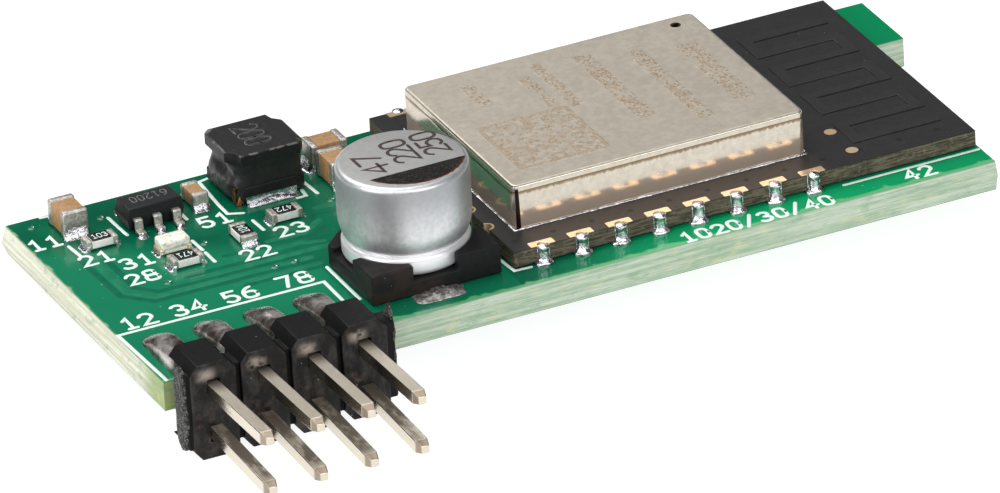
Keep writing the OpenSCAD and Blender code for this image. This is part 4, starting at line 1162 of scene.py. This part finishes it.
def resin_body():
    """Resin between the flanges: the outline |x/a|^6 + |y/b|^6 = 1 at each height t. A waist of
    exp(-((t - 0.72) / 0.24)^2) draws it in, by 0.24 where it faces left, less where it faces
    right, and by 0.03 along y. A ripple times sin(pi t) makes it uneven."""
    low, high = box_of("inductor_core")
    centre, half = (low + high) / 2, (high - low) / 2
    low, high = low + [0, 0, 0.16], high - [0, 0, 0.56]
    t = np.linspace(0, 1, 15)[:, None]
    a = np.linspace(0, 2 * math.pi, 72, endpoint=False)
    c, s = np.cos(a), np.sin(a)
    n = 6.0
    reach = (np.abs(c) ** n + np.abs(s) ** n) ** (-1 / n)
    sideways = np.clip(-c * 1.25 - 0.3, 0, 1) ** 1.5 + 0.3 * np.clip(c, 0, 1) ** 4
    waist = np.exp(-((t - 0.72) / 0.24) ** 2)
    x = (half[0] + 0.01) * reach * c * (1 - 0.24 * waist * sideways)
    y = (half[1] + 0.015) * reach * s * (1 - 0.03 * waist)
    x = x + 0.025 * ripple(4 * s + 2 * t, 3 * c, 12) * np.sin(math.pi * t)
    y = y + 0.025 * ripple(4 * c + 2 * t, 3 * s, 13) * np.sin(math.pi * t)
    z = low[2] - 0.02 + (high[2] - low[2] + 0.04) * t + 0 * a
    return loft(np.stack([centre[0] + x, centre[1] + y, z], -1))


piece_from("inductor_filling", [resin_body()], RESIN, ("inductor_resin",), sharp=60)
# The inductor's number is a dark one, over a grey one that shows as its lit lip.
for name, x, y, stroke, sunk, thick, material in (
        ("inductor_number_lips", 0.02, 0.13, 0.17, 0.006, 0.012, MARK),
        ("inductor_numbers", 0.03, 0.1, 0.15, 0.004, 0.014, RESIN)):
    number = figures("200", (core[0] + x, core[1] + y), 1.3, stroke, core_high[2] - sunk, thick,
                     (0, -1), 0.75, 0.1)
    piece_from(name, number, material)
terminal_low, terminal_high = box_of("inductor_terminal_near")
lip = block([terminal_low[0] - 0.05, terminal_low[1] - 0.03, 0.4],
            [terminal_high[0] + 0.05, core_low[1] + 0.2, 0.92], 0.05)
piece_from("inductor_foot_lip", [lip], FERRITE)
regulator_top = box_of("regulator_body")[1][2]
number = figures("61200", (regulator[0] + 0.05, regulator[1] + 0.12), 0.55, 0.06,
                 regulator_top - 0.008, 0.012, (-1, 0), 0.8, 0.22)
piece_from("regulator_numbers", number, MARK)
bead = mound((core_low[0] + 0.32, core_low[1] + 0.1), 0.24, 0.2, 0.42, 0.8, 2.0, 71, 0.2)
piece_from("inductor_wire_end", [bead], COPPER)

# ---------------------------------------------------------------- printing on the carrier

# Thickness of the ink and width of its lines.
INK_T, INK_W = 0.018, 0.19
lines = [
    [(0.22, 0.10), (0.07, 5.27), (10.52, 5.24), (10.49, 3.13)],
    [(18.50, 2.92), (18.60, 1.62), (19.42, 1.58)],
    [(35.61, 1.46), (42.66, 1.48)],
    [(11.25, 6.48), (11.23, 2.78)],
    [(1.71, 14.63), (1.79, 13.52)], [(4.48, 16.35), (4.54, 14.28)], [(7.61, 14.94), (7.60, 14.28)],
    [(1.73, 18.0), (2.08, 17.97)], [(5.63, 13.19), (5.64, 12.75)], [(6.93, 12.16), (6.97, 11.06)],
    [(6.98, 10.76), (6.98, 9.70)], [(10.23, 12.57), (10.27, 11.44)], [(13.92, 14.95), (14.01, 13.53)],
    [(10.23, 17.64), (9.67, 17.50), (9.50, 14.94), (9.49, 13.81), (10.16, 13.50)],
    [(12.99, 13.59), (13.44, 13.60), (13.51, 14.21)],
]
silk = [ribbon(line, INK_W, INK_T) for line in lines]
for text, x, y, tall in (("11", 0.85, 15.5, 1.0), ("21", 2.32, 12.86, 1.0), ("31", 3.83, 11.6, 1.0),
                         ("28", 3.42, 10.02, 1.0), ("51", 8.70, 13.55, 1.0), ("22", 9.04, 9.5, 1.0),
                         ("23", 11.42, 10.84, 1.0), ("12", 1.44, 6.1, 1.05), ("34", 4.01, 6.1, 1.05),
                         ("56", 6.62, 6.07, 1.05), ("78", 9.43, 6.13, 1.05), ("42", 39.19, 0.79, 0.95),
                         ("1020/30/40", 30.6, 0.5, 0.9)):
    silk += figures(text, (x, y), tall, INK_W, 0.0, INK_T)
piece_from("silk_print", silk, INK)

gaps = [
    [(1.64, 13.07), (1.75, 8.78), (2.93, 7.5), (9.0, 7.46), (11.2, 7.4)],
    [(2.68, 12.44), (2.66, 9.23), (3.49, 8.3), (8.00, 8.2), (11.1, 8.15)],
    [(5.2, 9.0), (9.16, 8.9), (12.4, 8.86)],
    [(7.6, 9.94), (10.11, 9.97), (11.54, 9.85), (11.98, 9.72), (12.9, 10.3)],
    [(9.78, 10.91), (10.52, 10.61), (11.9, 10.5), (12.8, 11.4)], [(7.3, 6.75), (11.2, 6.7)],
    [(12.9, 11.6), (15.2, 11.6)], [(11.6, 9.3), (13.4, 9.3), (14.4, 9.9)],
]
piece_from("mask_gaps", [ribbon(gap, 0.34, 0.004) for gap in gaps], GROOVE)
tracks = [
    [(2.15, 12.8), (2.2, 9.05), (3.2, 7.92), (11.0, 7.8)],
    [(5.4, 8.55), (12.3, 8.5)], [(6.9, 7.08), (11.1, 7.02)], [(8.0, 9.42), (11.2, 9.4), (12.2, 9.0)],
    [(10.0, 10.3), (11.7, 10.18), (12.9, 11.0)], [(13.3, 12.2), (15.4, 12.2)],
]
piece_from("mask_tracks", [ribbon(track, 0.4, 0.006) for track in tracks], OVERLAID)


def via(x, y):
    """A plugged hole under the mask: a low ring with a dimple, turned about an upright axis."""
    s = np.linspace(0.02, 1, 12)
    return lathe(np.column_stack([0.24 * s, 0.045 * np.sin(math.pi * s) ** 2 + 0.004]), (x, y), 28)


VIAS = [(9.2, 7.78), (10.2, 7.81), (7.33, 11.64), (4.26, 8.91),
        (0.98, 17.27), (4.21, 16.52), (14.3, 12.6), (12.3, 14.9)]
piece_from("mask_rings", [via(x, y) for x, y in VIAS], GROOVE)
# Painted highlight: a small bright solder bead beside each via stands for the glint on its rim.
piece_from("via_glint_beads", [mound((x + 0.08, y - 0.02), 0.07, 0.07, 0.06, 0.5, 2.0, 5, 0.0, steps=14, rings=6)
                          for x, y in VIAS], SOLDER)

# ---------------------------------------------------------------- module details

module_top = module_high[2]
dot = [(0.29, module_top - 0.01), (0.3, module_top + 0.008), (0.02, module_top + 0.012)]
piece_from("module_dots", [lathe(dot, spot, 32) for spot in ((36.73, 5.07), (36.77, 2.87))],
           GILT)


def shield_skin():
    """Folded sheet: upright walls, then a bend of radius b that draws in by b (1 - cos a) while
    it climbs b sin a, then a flat top running in straight lines from its rim to the vent hole's
    circle, and the hole's own wall going down."""
    low, high = box_of("shield_can")
    half, centre = (high - low)[:2] / 2, (high + low)[:2] / 2
    b, corner = 0.14, 0.34
    a = np.radians(np.linspace(0, 90, 8))
    inset = np.concatenate([[0.0], b * (1 - np.cos(a)), [b + 0.04]])
    height = np.concatenate([[low[2]], high[2] - b + b * np.sin(a), [high[2]]])
    rims = [outline(half[0] - d, half[1] - d, corner - d, 7) + centre for d in inset]
    count = len(rims[0])
    rings = np.array([np.column_stack([rim, np.full(count, z)]) for rim, z in zip(rims, height)])
    vent = high[:2] - VENT_IN
    out = rings[-1, :, :2] - vent
    out /= np.linalg.norm(out, axis=1, keepdims=True)
    hole = [np.column_stack([vent + VENT / 2 * r * out, np.full(count, high[2] - drop)])
            for r, drop in ((1.0, 0.0), (1.0, 0.2), (0.05, 0.2))]
    return loft(np.concatenate([rings, hole]))


keep_flat(piece_from("shield_skin", [shield_skin()], SHIELD, ("shield_can",)))


def shield_bead():
    """Solder that crept along the shield's foot: a thin bar along its left, near and right
    sides, whose radius is pushed about by a ripple."""
    low, high = box_of("shield_can")
    off = 0.03
    left, right, near, far = low[0] - off, high[0] + off, low[1] - off, high[1] + off
    corners = np.array([(left, far), (left, near), (right, near), (right, far)])
    sides = [np.linspace(a, b, 110, endpoint=False) for a, b in zip(corners[:-1], corners[1:])]
    run = np.concatenate(sides + [corners[-1:]])
    i = np.arange(len(run))
    radius = 0.06 + 0.03 * ripple(i * 0.35, i * 0.0, 31)
    z = np.full(len(run), low[2] + 0.02)
    return wire(np.column_stack([run, z]), radius, 10)


piece_from("shield_foot_solder", [shield_bead()], SOLDER, sharp=60)

# ---------------------------------------------------------------- stage, lights and camera

# The floor's half width and height, and each lamp's place, width and watts, in metres.
FLOOR_HALF, FLOOR_Z = 3.0, -2e-5
LAMPS = {
    "overhead softbox": ((-0.1, 0.42, 0.85), 0.8, 8.0),
    "left softbox": ((-0.85, -0.2, 0.4), 0.6, 4.4),
    "front softbox": ((-0.15, -0.76, 0.7), 1.0, 5.6),
    "front right softbox": ((0.42, -0.86, 0.5), 0.55, 2.2),
}
# The camera's azimuth, elevation and roll in degrees, its lens in millimetres and its place in metres.
CAMERA_TURN, CAMERA_LENS = (-23.792, 27.397, -3.366), 496.904
CAMERA_PLACE = (-0.233220, -0.522088, 0.298550)


def floor_and_world():
    """A grey floor, which its own glow makes pale, and a dim even sky."""
    floor_mesh = bpy.data.meshes.new("floor")
    corners = [(-1, -1), (1, -1), (1, 1), (-1, 1)]
    floor_mesh.from_pydata([(x * FLOOR_HALF, y * FLOOR_HALF, FLOOR_Z) for x, y in corners], [],
                           [(0, 1, 2, 3)])
    floor = bpy.data.objects.new("floor", floor_mesh)
    bpy.context.scene.collection.objects.link(floor)
    pale = Finish("pale floor", rough=0.9)
    pale.set(Base_Color=pale.mix(pale.noise(0.002, 2), paint(120, 120, 120), paint(124, 124, 124)),
             Emission_Color=(1, 1, 1, 1), Emission_Strength=0.92)
    floor_mesh.materials.append(pale.material)

    world = bpy.data.worlds.new("studio")
    world.use_nodes = True
    world.node_tree.nodes["Background"].inputs[0].default_value = (0.97, 0.985, 1.0, 1)
    world.node_tree.nodes["Background"].inputs[1].default_value = 0.07
    bpy.context.scene.world = world


def lamps():
    """Four square soft lamps, each turned to the part."""
    for name, (spot, size, watts) in LAMPS.items():
        lamp = bpy.data.lights.new(name, "AREA")
        lamp.shape, lamp.size, lamp.energy = "SQUARE", size, watts
        stand = bpy.data.objects.new(name, lamp)
        bpy.context.scene.collection.objects.link(stand)
        stand.location = spot
        stand.rotation_euler = (-Vector(spot)).to_track_quat("-Z", "Y").to_euler()


def camera():
    """The camera: it looks along an azimuth and an elevation, and rolls about that line."""
    azimuth, elevation, roll = (math.radians(a) for a in CAMERA_TURN)
    ahead = Vector((-math.sin(azimuth) * math.cos(elevation),
                    math.cos(azimuth) * math.cos(elevation), -math.sin(elevation)))
    right = ahead.cross(Vector((0, 0, 1))).normalized()
    up = right.cross(ahead)
    side = math.cos(roll) * right + math.sin(roll) * up
    top = math.cos(roll) * up - math.sin(roll) * right
    made = bpy.data.objects.new("camera", bpy.data.cameras.new("camera"))
    bpy.context.scene.collection.objects.link(made)
    made.data.sensor_width, made.data.lens = 36.0, CAMERA_LENS
    made.data.clip_start, made.data.clip_end = 0.05, 20.0
    turn = Matrix((side, top, -ahead)).transposed().to_4x4()
    made.matrix_world = Matrix.Translation(Vector(CAMERA_PLACE)) @ turn
    bpy.context.scene.camera = made
    bpy.context.scene.view_settings.view_transform = "Standard"


floor_and_world()
lamps()
camera()
